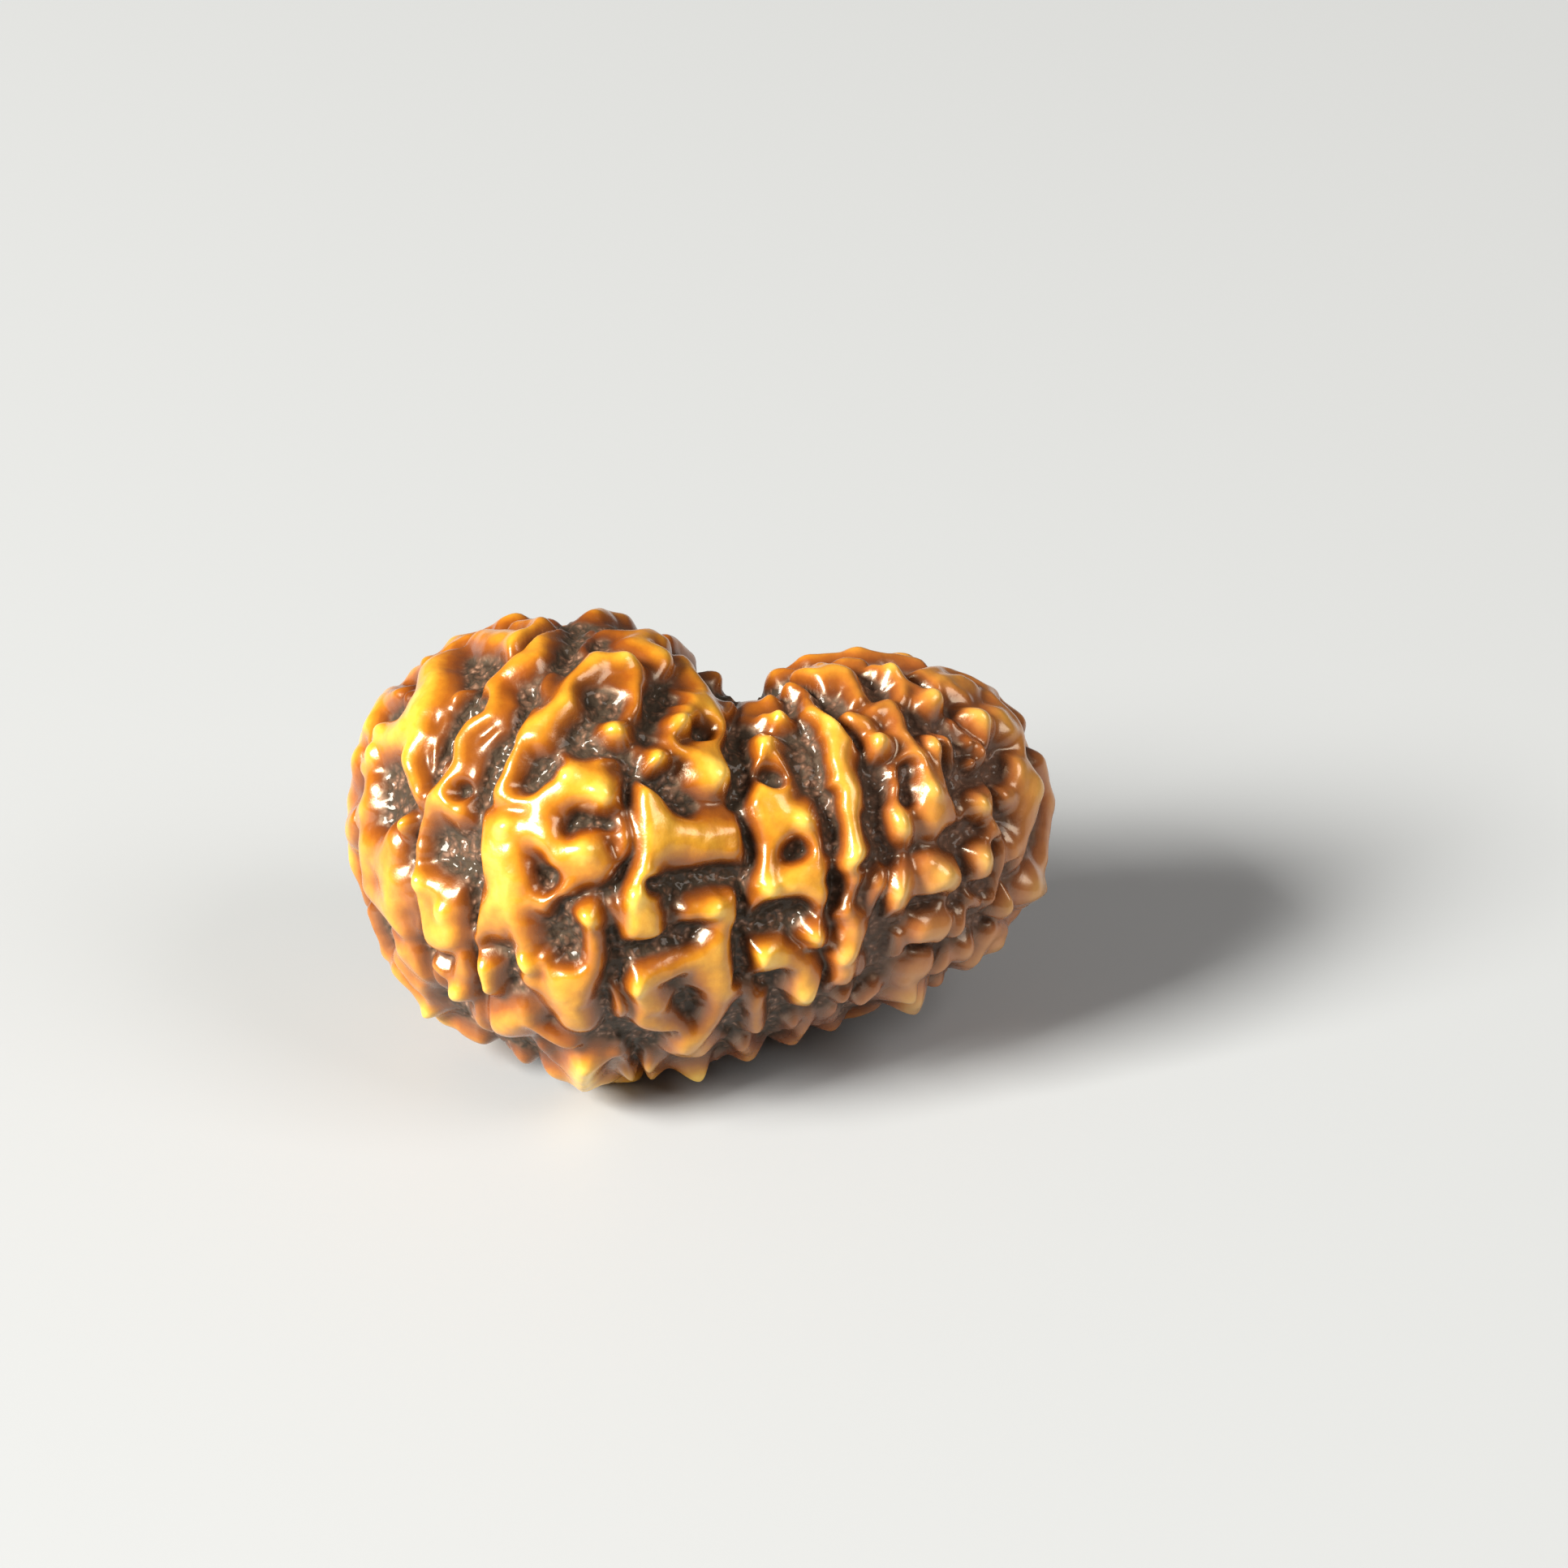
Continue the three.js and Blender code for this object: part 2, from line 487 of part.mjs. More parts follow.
// The outward normal of the body at q.
function normalAt(q) {
  const side = Math.abs(q.x) < 0.9 ? new THREE.Vector3(1, 0, 0) : new THREE.Vector3(0, 1, 0);
  const along = q.clone().cross(side).normalize();
  const across = q.clone().cross(along);
  const slope = (direction) => {
    const ahead = q.clone().addScaledVector(direction, 1e-3).normalize();
    const behind = q.clone().addScaledVector(direction, -1e-3).normalize();
    return bodyPoint(ahead).sub(bodyPoint(behind));
  };
  return slope(along).cross(slope(across)).normalize();
}

function crestPoint(q) {
  return bodyPoint(q).addScaledVector(normalAt(q), CREST);
}

// How far p is outside the body swelled by CREST, and the unit vector that leads to it.
function clearance(p) {
  const half = HALF_LENGTH + CREST;
  const x = THREE.MathUtils.clamp(p.x, -0.9999 * half, 0.9999 * half);
  const section = sectionAt(x, CREST);
  const reach = Math.max(Math.hypot(p.y - section.y, p.z - section.z), 1e-9);
  const y = (p.y - section.y) / reach;
  const z = (p.z - section.z) / reach;
  const ring = Math.sqrt(1 - (x / half) ** 2);
  return {
    gap: reach - section.radius + notchAt(x, y, z) + 3 * Math.abs(p.x - x),
    q: new THREE.Vector3(x / half, ring * y, ring * z),
  };
}

// The unit vector met by the line of sight through (x, y) of the drawing, or the one that
// line passes nearest.
function sightedAt(x, y) {
  const target = DRAWING_ORIGIN.clone().addScaledVector(DRAWING_UP, y);
  target.x += x;
  const ray = target.sub(EYE).normalize();
  const at = (t) => clearance(ray.clone().multiplyScalar(t).add(EYE));
  let nearest = at(325);
  for (let t = 325; t < 360; t += 0.5) {
    const here = at(t);
    if (here.gap < nearest.gap) nearest = here;
    if (here.gap < 0) {
      let outside = t - 0.5;
      let inside = t;
      for (let step = 0; step < 30; step++) {
        const middle = (outside + inside) / 2;
        if (at(middle).gap < 0) inside = middle;
        else outside = middle;
      }
      return at(inside).q;
    }
  }
  return nearest.q;
}

// Where p is seen on the drawing plane.
function seenAt(p) {
  const ray = p.clone().sub(EYE);
  const depth = DRAWING_ORIGIN.clone().sub(EYE).dot(SIGHT);
  const onPlane = ray.multiplyScalar(depth / ray.dot(SIGHT)).add(EYE).sub(DRAWING_ORIGIN);
  return { x: onPlane.x, y: onPlane.dot(DRAWING_UP) };
}

// The unit vector whose crest point is seen at (x, y).
function placedAt([x, y]) {
  const aim = { x, y };
  for (let step = 0; step < 5; step++) {
    const seen = seenAt(crestPoint(sightedAt(aim.x, aim.y)));
    aim.x += 0.8 * (x - seen.x);
    aim.y += 0.8 * (y - seen.y);
  }
  return sightedAt(aim.x, aim.y);
}

// Bearings are measured in a flat map of the sphere that has the tip at infinity.
function pole(x, lean, up) {
  const ring = Math.sqrt(1 - x * x);
  return new THREE.Vector3(x, ring * Math.sin(degToRad(lean)), up * ring * Math.cos(degToRad(lean)));
}
const MAP_NORMAL = pole(TIP.x, TIP.lean, -1).negate();
const MAP_X = new THREE.Vector3(0, 1, 0).cross(MAP_NORMAL).normalize();
const MAP_Y = MAP_NORMAL.clone().cross(MAP_X);

function toMap(q) {
  const scale = 1 / (1 + q.dot(MAP_NORMAL) + 1e-9);
  return new THREE.Vector2(q.dot(MAP_X) * scale, q.dot(MAP_Y) * scale);
}

function fromMap(z) {
  const r2 = z.lengthSq();
  return MAP_X.clone()
    .multiplyScalar(2 * z.x)
    .addScaledVector(MAP_Y, 2 * z.y)
    .addScaledVector(MAP_NORMAL, 1 - r2)
    .divideScalar(1 + r2);
}
const STALK_ON_MAP = toMap(pole(STALK_END.x, STALK_END.lean, 1));

// Furrows wander a little to either side of their way.
function wandering(q) {
  const wave = (a, b) => 0.016 * Math.sin(13 * a + 5 * b) + 0.007 * Math.sin(29 * b - 11 * a);
  const aside = new THREE.Vector3(wave(q.y, q.z), wave(q.z, q.x), wave(q.x, q.y));
  return aside.add(q).normalize();
}

// The distance in mm from q to the nearest furrow, and the number of the face q is on.
function furrowNear(q) {
  const here = wandering(q);
  const arm = toMap(here).sub(STALK_ON_MAP);
  const turned = arm.clone().rotateAround(new THREE.Vector2(), 1e-3).add(STALK_ON_MAP);
  const perRadian = bodyPoint(fromMap(turned), CREST).distanceTo(bodyPoint(here, CREST)) / 1e-3;
  const bearing = euclideanModulo(THREE.MathUtils.radToDeg(arm.angle()), 360);
  const offsets = FURROWS.map((f) => Math.abs(euclideanModulo(bearing - f + 180, 360) - 180));
  return {
    distance: degToRad(Math.min(...offsets)) * perRadian,
    face: FURROWS.filter((f) => f < bearing).length % FURROWS.length,
  };
}

function drawnStrokes(drawing) {
  return Object.entries(drawing).flatMap(([kind, lines]) =>
    lines.map((line) => ({ kind, path: line.map(placedAt) })),
  );
}

// Random numbers from 0 to 1, the same in every run.
function seededRandom(seed) {
  let state = seed;
  return () => {
    state = (state + 0x6d2b79f5) | 0;
    let t = Math.imul(state ^ (state >>> 15), state | 1);
    t ^= t + Math.imul(t ^ (t >>> 7), t | 61);
    return ((t ^ (t >>> 14)) >>> 0) / 4294967296;
  };
}

function hiddenWarts(random) {
  const warts = [];
  for (let i = 0; i < WART_TRIES; i++) {
    const x = 2 * random() - 1;
    const turn = 2 * Math.PI * random();
    const ring = Math.sqrt(1 - x * x);
    const q = new THREE.Vector3(x, ring * Math.sin(turn), ring * Math.cos(turn));
    const point = crestPoint(q);
    const toEye = EYE.clone().sub(point).normalize();
    if (normalAt(q).dot(toEye) > 0.08) continue;
    if (warts.some((w) => w.point.distanceTo(point) < WART_SPACING)) continue;
    const furrow = furrowNear(q);
    if (furrow.distance < 0.55) continue;
    warts.push({ q, point, face: furrow.face, joined: false });
  }
  return warts;
}

function hiddenStrokes() {
  const random = seededRandom(SEED);
  const warts = hiddenWarts(random);
  const strokes = [];
  warts.forEach((a, i) => {
    warts.slice(i + 1).forEach((b) => {
      if (a.face !== b.face || a.point.distanceTo(b.point) > JOIN_REACH) return;
      if (random() > (a.point.x + b.point.x < 6 ? JOINED_LARGE : JOINED_SMALL)) return;
      const bend = new THREE.Vector3(random() - 0.5, random() - 0.5, random() - 0.5);
      const middle = a.q.clone().add(b.q).addScaledVector(bend, 0.12).normalize();
      const kind = JOIN_KINDS[Math.floor(random() * 4)];
      strokes.push({ kind, path: [a.q, middle, b.q] });
      a.joined = true;
      b.joined = true;
    });
  });
  const single = warts.filter((w) => !w.joined).map((w) => ({ kind: "main", path: [w.q] }));
  return strokes.concat(single);
}

// A stroke as straight parts between crest points.
function inParts({ kind, path }) {
  const points = path.map(crestPoint);
  const parts = points.slice(1).map((p, i) => new THREE.Line3(points[i], p));
  return { kind, parts: parts.length ? parts : [new THREE.Line3(points[0], points[0])] };
}

function distanceToParts(parts, p) {
  const nearest = new THREE.Vector3();
  const distances = parts.map((part) => {
    const t = part.distance() > 0 ? part.closestPointToPointParameter(p, true) : 0;
    return part.at(t, nearest).distanceTo(p);
  });
  return Math.min(...distances);
}

// A slight waviness, so that no ridge runs quite straight.
function wavy(p) {
  return new THREE.Vector3(
    p.x + 0.1 * Math.sin(2.1 * p.y + 1.3 * p.z),
    p.y + 0.1 * Math.sin(1.7 * p.z + 1.9 * p.x),
    p.z + 0.1 * Math.sin(2.3 * p.x - 1.1 * p.y),
  );
}

// A ridge's height, from 1 down to 0, at a distance given in half widths.
function ridgeProfile(share) {
  const crest = Math.exp(-0.69 * share ** 2.2);
  const shoulder = Math.exp(-0.69 * (share / SHOULDER_WIDTH) ** 3.5);
  return lerp(crest, shoulder, SHOULDER_SHARE);
}

// The height of the ridges at p, where they run into each other, and of what stands above them.
function raisedAt(p, ridges) {
  const swell = 1 + SWELL * Math.sin(1.7 * p.x + 0.6 * p.y) * Math.sin(1.5 * p.z - 0.9 * p.y);
  let sum = 0;
  let proud = 0;
  for (const { kind, parts } of ridges) {
    const [halfWidth, height] = KINDS[kind];
    const share = distanceToParts(parts, p) / (halfWidth * swell);
    if (kind in PROUD) proud = Math.max(proud, height * Math.exp(-0.69 * share ** PROUD[kind]));
    else if (share < RIDGE_REACH) sum += (height * ridgeProfile(share)) ** MERGING;
  }
  const merged = sum ** (1 / MERGING);
  return { ridges: merged / (1 + (merged / MOST_RELIEF) ** 6) ** (1 / 6), proud };
}

// The share of the height that the drawn pits leave at p.
function leftByPits(p, pits) {
  const shares = pits.map(({ kind, parts }) => distanceToParts(parts, p) / PIT_KINDS[kind]);
  return shares.reduce((left, share) => left * (1 - Math.exp(-0.69 * share ** 4)), 1);
}

// Height over the pit floor at q.
function reliefAt(q, ridges, pits) {
  const p = wavy(crestPoint(q));
  const raised = raisedAt(p, ridges);
  const height = ((raised.ridges * leftByPits(p, pits)) ** 5 + raised.proud ** 5) ** (1 / 5);
  const strength = 0.7 + 0.3 * Math.sin(0.9 * p.x + 0.8 * p.y + 1.3 * p.z);
  const furrow = strength * Math.exp(-((furrowNear(q).distance / FURROW_HALF_WIDTH) ** 2));
  return height * (1 - furrow) - FURROW_DEPTH * furrow;
}

// The finished surface. The pits over the foot are filled, and ridges that would go below
// the ground are flattened on it.
function surfacePoint(q, ridges, pits) {
  const point = bodyPoint(q);
  const normal = normalAt(q);
  const fromFoot = Math.hypot(point.x - FOOT.x, point.y - FOOT.y);
  const fill = 1 - smoothstep(fromFoot, FOOT.radius, FOOT.radius + FOOT.edge);
  const filled = point.z < LARGE_CENTRE ? CREST * fill : -Infinity;
  const height = Math.max(reliefAt(q, ridges, pits), filled);
  const room = normal.z < -1e-6 ? point.z / -normal.z : Infinity;
  return point.addScaledVector(normal, Math.min(height, room));
}

function beadGeometry() {
  const sphere = new THREE.IcosahedronGeometry(1, EDGE_PARTS - 1);
  sphere.deleteAttribute("normal");
  sphere.deleteAttribute("uv");
  const geometry = mergeVertices(sphere, 1e-5);
  const position = geometry.getAttribute("position");
  const ridges = drawnStrokes(FRONT).concat(hiddenStrokes()).map(inParts);
  const pits = drawnStrokes(PITS).map(inParts);
  for (let i = 0; i < position.count; i++) {
    const q = new THREE.Vector3().fromBufferAttribute(position, i).normalize();
    const p = surfacePoint(q, ridges, pits);
    position.setXYZ(i, p.x, p.y, p.z);
  }
  geometry.computeVertexNormals();
  return geometry;
}

const part = new THREE.Group();
const bead = new THREE.Mesh(
  beadGeometry(),
  new THREE.MeshStandardMaterial({ color: 0xb8701f, roughness: 0.35, metalness: 0 }),
);
bead.name = "bead";
part.add(bead);

export default part;
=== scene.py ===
"""A fifteen-faced rudraksha bead: the dried stone of a fruit, lying on a pale floor.

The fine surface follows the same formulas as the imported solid: a kidney-shaped body, fifteen
furrows and a net of raised ridges. Shapes are worked out in millimetres, and the finished mesh
is in metres.
"""
import math

import bpy
import numpy as np
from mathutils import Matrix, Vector, noise


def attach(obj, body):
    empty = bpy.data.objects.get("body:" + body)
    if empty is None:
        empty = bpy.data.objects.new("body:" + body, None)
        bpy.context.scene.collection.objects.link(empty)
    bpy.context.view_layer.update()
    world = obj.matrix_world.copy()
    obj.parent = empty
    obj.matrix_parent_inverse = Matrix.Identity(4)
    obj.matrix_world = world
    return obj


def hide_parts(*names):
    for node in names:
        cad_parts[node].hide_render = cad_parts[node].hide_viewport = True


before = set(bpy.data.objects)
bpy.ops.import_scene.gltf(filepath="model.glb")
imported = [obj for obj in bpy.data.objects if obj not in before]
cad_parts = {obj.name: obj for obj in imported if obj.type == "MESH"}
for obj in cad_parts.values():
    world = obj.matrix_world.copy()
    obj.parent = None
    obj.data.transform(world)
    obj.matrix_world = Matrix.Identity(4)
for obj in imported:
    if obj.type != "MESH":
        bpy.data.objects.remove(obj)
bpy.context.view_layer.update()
METRES = 0.001

# The body, measured to the floor of the pits between the ridges.
HALF_LENGTH = 14.1
LARGE_RADIUS = 9.55
SMALL_RADIUS = 7.65
LARGE_CENTRE = 9.78
SMALL_CENTRE = 9.2
WAIST = (-6.5, 4)
BLUNTNESS = 2.4
SPINE_BOW = 3
SMALL_LOBE_BACK = 1.2
MIDDLE_BACK = -0.6
END_DROOP = 0.7
BELLY_X, BELLY_DROP, BELLY_WIDTH = 1.5, 0.6, 3.5
NOTCH_X, NOTCH_DEPTH, NOTCH_WIDTH = 1.45, 1.7, 2.4
NOTCH_LEAN = math.radians(50)
FOOT_X, FOOT_Y, FOOT_RADIUS, FOOT_EDGE = -1.6, 0.45, 2.3, 1.3

# Furrows leave the stalk end at these bearings, in degrees, and meet again at the tip.
STALK_END_X, STALK_END_LEAN = 0, math.radians(54)
TIP_X, TIP_LEAN = -0.04, math.radians(24)
FURROWS = np.array(
    [4, 53, 103, 154, 201, 225, 243, 250.6, 264.2, 274.1, 281.7, 286.4, 295.3, 302.1, 323]
)
FURROW_HALF_WIDTH = 0.25
FURROW_DEPTH = 0.18

# Ridges and warts: half width at half height, then height over the pit floor.
KINDS = {
    "plate": (0.85, 0.95),
    "wide": (0.68, 1.0),
    "main": (0.54, 0.95),
    "narrow": (0.42, 0.88),
    "fine": (0.3, 0.7),
    "low": (0.48, 0.55),
    "spike": (0.8, 1.5),
    "knob": (0.66, 1.2),
}
PROUD = {"spike": 1.4, "knob": 2.6}  # steepness of the kinds that stand above the others
CREST = 0.9
SHOULDER_SHARE = 0.4  # the part of a ridge's height that is its wide shoulder
SHOULDER_WIDTH = 1.6  # in half widths
MERGING = 3  # how much ridges that lie close fill the space between them: less fills more
MOST_RELIEF = 1.2
RIDGE_REACH = 3  # in half widths
SWELL = 0.2  # how much ridges widen and narrow on their way

# The camera looks down at TILT degrees from EYE. The front drawing holds the crest lines seen
# from there, in millimetres on an upright plane through DRAWING_ORIGIN. Pits lie between them.
TILT = math.radians(32)
EYE = np.array([3.55, -291.4, 194.6])
FOCAL_PIXELS = 10000
FRAME_PIXELS = 1932
SENSOR_WIDTH = 36
DRAWING_ORIGIN = np.array([0, -5, 2.28])
DRAWING_RIGHT = np.array([1.0, 0, 0])
DRAWING_UP = np.array([0, math.sin(TILT), math.cos(TILT)])
SIGHT = np.array([0, math.cos(TILT), -math.sin(TILT)])
FRONT = {
    "plate": (
        ((-13.3, 13.4), (-12.2, 13.6), (-11.7, 14.8), (-11.4, 16.4)),
        ((-14.1, 8.5), (-13.6, 7.4), (-13.2, 6.2)),
        ((-8.9, 8.2), (-8.7, 6.8), (-8.6, 5.6)),
        ((-12.5, 3.9), (-11.8, 3.1)),
        ((-9.3, 1), (-8.1, 0.9)),
        ((-6.1, 2.6), (-5.4, 1.5)),
        ((-2.6, 6.4), (-2.6, 5.4)),
        ((-2.6, 2.4), (-1.9, 1.7)),
        ((-1.8, 17), (-1.3, 16.6)),
        ((0.1, 12.1), (0.8, 11.9)),
        ((0.1, 14.8), (0.4, 14.6)),
        ((3.3, 10.6), (4.3, 10)),
        ((3.2, 7.2), (4.6, 7.2)),
        ((4.3, 2.3), (4.8, 2.3)),
        ((0.5, 3.4), (0.9, 2.6)),
        ((4.4, 16), (5.8, 16.3)),
        ((5.6, 14.1),),
        ((10.2, 15.9), (11.5, 15.6)),
        ((12.9, 14.2), (13.3, 13.7)),
        ((14, 11.6), (14.1, 10.8)),
        ((9.8, 11.1), (10, 10.4)),
        ((8.4, 7.1), (8.5, 6.5)),
        ((10.2, 7.4), (10.6, 7.3)),
        ((9.9, 5.1), (10.7, 5.1)),
        ((9.1, 3.2), (10.1, 3.3)),
        ((12.3, 4.5),),
        ((14, 6.9),),
    ),
    "wide": (
        ((6, 13), (5.9, 12.2), (6.1, 11.4)),
        ((6.4, 10.6), (6.5, 9.2), (6.6, 8.4)),
        ((6.3, 4.5), (6.3, 3.4)),
        ((2.8, 4), (2.9, 3.7)),
        ((7.5, 13.1),),
        ((11.6, 14.2), (12, 14)),
        ((12, 8.2), (12.1, 7.8)),
        ((13.1, 8.6), (13.3, 7.9)),
        ((12.9, 6.4), (12.9, 5.9)),
        ((-14.4, 10), (-14.9, 9.8)),
        ((-13.4, 13.5), (-12.4, 13.6), (-11.7, 14.6), (-11.5, 15.8), (-11.1, 16.9), (-10.3, 17.6),
         (-9.3, 17.8), (-8.4, 17.6), (-7.6, 17.4)),
        ((-12.5, 12.6), (-12, 13.4), (-12.1, 14.8)),
        ((-11, 10.7), (-10.4, 10.3)),
        ((-12, 7.1), (-11.4, 6.8), (-11, 6.4), (-10.8, 5.8), (-10.8, 5)),
        ((-11.9, 6), (-11.6, 5.4)),
        ((-11.8, 4.8), (-10.8, 4.7)),
        ((-13.3, 8.8), (-13.4, 8), (-13.2, 7.2), (-13, 6.4)),
        ((-14.4, 8.8), (-14.3, 7.8), (-14.3, 7), (-13.8, 6.3), (-13.2, 5.7), (-12.8, 5.2)),
        ((-12.7, 3.4), (-12.3, 2.9)),
        ((-9.1, 9.5), (-8.3, 9.7)),
        ((-9.1, 8.8), (-8, 9.4), (-7.2, 9.8)),
        ((-9, 8.2), (-8.5, 7.4), (-8.6, 6.6)),
        ((-8.2, 8.6), (-7.4, 9), (-6.7, 9.2)),
        ((-8.1, 8.2), (-7.9, 7.4)),
        ((-5.4, 3), (-5.5, 2.2), (-5.3, 1.5), (-5.2, 1)),
        ((-9.2, 1.3), (-8.4, 1.1), (-7.5, 1.3)),
        ((-7.7, 17.4), (-7, 17.9), (-6.8, 18.2)),
        ((-7.8, 16.7), (-7.1, 16.9), (-6.9, 17.5)),
        ((-2.6, 17.5), (-2, 17.8), (-1.4, 17.4), (-0.9, 17), (-0.5, 16.6)),
        ((-1.7, 16.9), (-1.2, 16.6)),
        ((-8, 10.7), (-7, 10.7), (-6.1, 10.9), (-5.3, 11.2), (-4.4, 11)),
        ((-5.6, 12), (-5.5, 11.5)),
        ((-4.6, 11.6), (-4, 11.2)),
        ((-5.9, 8), (-5, 7.9), (-4.2, 8.1)),
        ((-2.6, 11), (-2.6, 10.2), (-2.7, 9.4), (-2.7, 8.6), (-2.6, 7.8)),
        ((-2, 10.9), (-1.9, 10), (-1.9, 9.1), (-2.1, 8.2), (-2.3, 7.6)),
        ((-1.8, 9.4), (-0.8, 9.4), (0.4, 9.4), (1.4, 9.3)),
        ((-1.4, 8.7), (-0.4, 8.8), (0.6, 8.6), (1.4, 8.5)),
        ((-2.3, 6.9), (-2.3, 6), (-2.2, 5.2)),
        ((-0.6, 0.1), (0.1, -0.1)),
        ((9.4, 12.3), (9.7, 11.6), (9.7, 10.9), (9.9, 10.2), (10.1, 9.8)),
        ((13.6, 11.9), (14.2, 11.3), (14.2, 10.4), (14, 9.6), (13.8, 9), (14, 8.4)),
        ((8.4, 6.9), (8.4, 6.5)),
        ((12.7, 14.2), (13.1, 13.7)),
    ),
    "main": (
        ((5, 5.2), (5, 4.6)),
        ((10.1, 13.2),),
        ((11.5, 4.1), (11.5, 3.6)),
        ((-12.5, 12.5), (-12.3, 11.5), (-12, 10.9)),
        ((-8, 16.4), (-8.7, 16), (-8.9, 15.2), (-9.1, 14.5), (-9.9, 13.8), (-10.3, 13.2),
         (-10.4, 12.4), (-10.8, 11.7), (-11.2, 10.9), (-11.8, 10.3), (-12.1, 9.7)),
        ((-12.3, 9.2), (-12.2, 8.4), (-12.3, 7.6)),
        ((-14.4, 12), (-14.2, 13), (-14, 14.2), (-13.5, 14.9), (-12.8, 15.4)),
        ((-14.3, 12), (-14.2, 11.2), (-14.3, 10.5)),
        ((-9.4, 3.5), (-9.2, 3), (-9.2, 2.7)),
        ((-8.5, 6.7), (-8, 6), (-7.7, 5.2), (-7.5, 4.3), (-7.4, 3.5), (-7.4, 3)),
        ((-4.5, 16.7), (-5, 16.1), (-5.6, 15.5), (-6.2, 14.8), (-6.9, 14.1), (-7.5, 13.6),
         (-7.9, 13), (-8.2, 12.3), (-8.3, 11.6), (-8.6, 10.9)),
        ((-5.8, 14.8), (-6.3, 14.1), (-6.9, 13.4)),
        ((-4.6, 16.6), (-4.1, 16.8), (-3.3, 16.8), (-2.7, 16.5), (-2.5, 15.9), (-2.6, 15.2),
         (-2.9, 14.9)),
        ((-6.5, 9.1), (-6, 8.6), (-5.4, 8.4), (-4.7, 8.5), (-4.3, 8.7)),
        ((-2.6, 7.5), (-2.5, 7)),
        ((-3.1, 6.3), (-2.9, 5.7), (-2.8, 5.2)),
        ((-0.4, 16.2), (0.1, 15.6), (0.3, 15), (0.5, 14.5), (0.9, 13.9), (0.9, 13.3), (0.7, 12.7),
         (0.4, 12.2), (0.5, 11.7)),
        ((0.2, 11.8), (0.7, 11.7)),
        ((-2.1, 12.6), (-1.6, 12.7)),
        ((-0.2, 5.9), (0.6, 5.9), (1.1, 5.5), (1, 4.8), (0.4, 4.1), (-0.3, 3.7), (-1.1, 3.4),
         (-2, 3.1), (-2.7, 2.9)),
        ((-2.9, 2.8), (-3, 2.1), (-2.9, 1.4), (-2.4, 1), (-1.7, 0.9), (-1, 0.7), (-0.3, 0.4)),
        ((1, 4.2), (0.9, 3.2), (0.9, 2.3), (0.7, 1.4), (0.3, 0.7), (-0.3, 0.3)),
        ((3.1, 11), (3.7, 10.5), (4.4, 10.1), (4.6, 9.6), (4.7, 9), (4.9, 8.4), (4.9, 7.8),
         (4.4, 7.4), (3.8, 7.1), (3.2, 6.8)),
        ((3.6, 10), (3.4, 9.4)),
        ((4.7, 7), (5.2, 6.6), (5.3, 7.2)),
        ((4.9, 14.5), (5.4, 14.2), (5.8, 14), (5.6, 13.5)),
        ((6.4, 14.3), (7, 14)),
        ((6.5, 8.6), (6.6, 8)),
        ((3.8, 3.7), (4.5, 3.4), (4.7, 2.7), (4.6, 2)),
        ((2.8, 4.1), (3.3, 3.9)),
        ((4.2, 0.9), (4.1, 0.4)),
        ((12.2, 10.3),),
        ((12, 8.1), (12.2, 7.8)),
        ((14.1, 7.3), (14.2, 6.7)),
        ((9.8, 7.9), (10.1, 7.4), (10.8, 7.2)),
        ((9.6, 5), (10.4, 5), (11.1, 5)),
        ((8.6, 9.8), (8.8, 9.4)),
    ),
    "narrow": (
        ((-10.3, 15.2), (-9.3, 15.8)),
        ((-11.9, 2.6), (-11.6, 2), (-11.5, 1.6)),
        ((-11.4, 3.5), (-11, 3.2)),
        ((-10.2, 3.7), (-10.3, 3), (-10.4, 2.3)),
        ((-8.6, 6.6), (-9.2, 6.1), (-9.5, 5.4), (-9.7, 4.7), (-9.9, 4.2)),
        ((-6.8, 3.8), (-6.3, 3), (-5.8, 2.3)),
        ((-4.5, 6), (-4.6, 5.2), (-4.6, 4.4), (-4.6, 3.6), (-4.8, 2.8), (-5, 2)),
        ((-7.2, 0.9), (-6.4, 0.4), (-5.5, 0)),
        ((-8.4, 18.3), (-7.4, 18.4), (-6.4, 18.3)),
        ((-3.8, 13.7), (-3.1, 13.9)),
        ((-7.2, 6.4), (-6.5, 6.2), (-6, 6.5), (-5.6, 7)),
        ((-1.8, 5.6), (-1.8, 5.1)),
        ((-0.6, 14.4), (-1, 13.9), (-1.1, 13.4), (-0.8, 12.9), (-0.2, 12.5)),
        ((-0.6, 14.5), (-0.1, 14.9)),
        ((1.4, 6.3), (1.3, 5.8)),
        ((2.8, 11.1), (2.6, 10.4), (2.8, 9.6), (2.9, 8.8), (2.9, 8), (2.9, 7.3), (3, 6.7)),
        ((3.4, 6.5), (4, 6.7)),
        ((2.6, 6.2), (3, 6.2)),
        ((3.2, 12.9), (3.5, 12.5), (3.8, 12), (3.8, 11.4), (3.5, 11)),
        ((2.6, 13.5), (2.7, 13), (2.6, 12.5)),
        ((2.8, 14.4), (3.4, 14.3), (3.6, 13.9)),
        ((3, 15.2), (3.5, 15.5), (4.2, 15.8), (4.7, 15.6), (4.7, 15.1)),
        ((3.9, 16.1), (5, 16.1), (5.8, 16.3), (6.3, 16.1), (6.5, 15.5), (6.8, 15.1)),
        ((3.9, 16.5), (5.2, 16.6), (6.2, 16.8), (6.8, 16.7)),
        ((6.1, 13.2), (5.9, 12.6), (5.8, 11.9), (6.1, 11.3), (6.4, 10.7), (6.4, 9.9), (6.4, 9.2),
         (6.5, 8.5), (6.6, 7.9), (6.8, 7.3)),
        ((5.3, 5.7), (5.2, 5), (5.4, 4.5)),
        ((4.3, 2.8), (4.4, 2.2)),
        ((2.3, 2.3), (2.4, 1.6), (2.4, 0.7)),
        ((1.8, 0), (2.1, -0.5)),
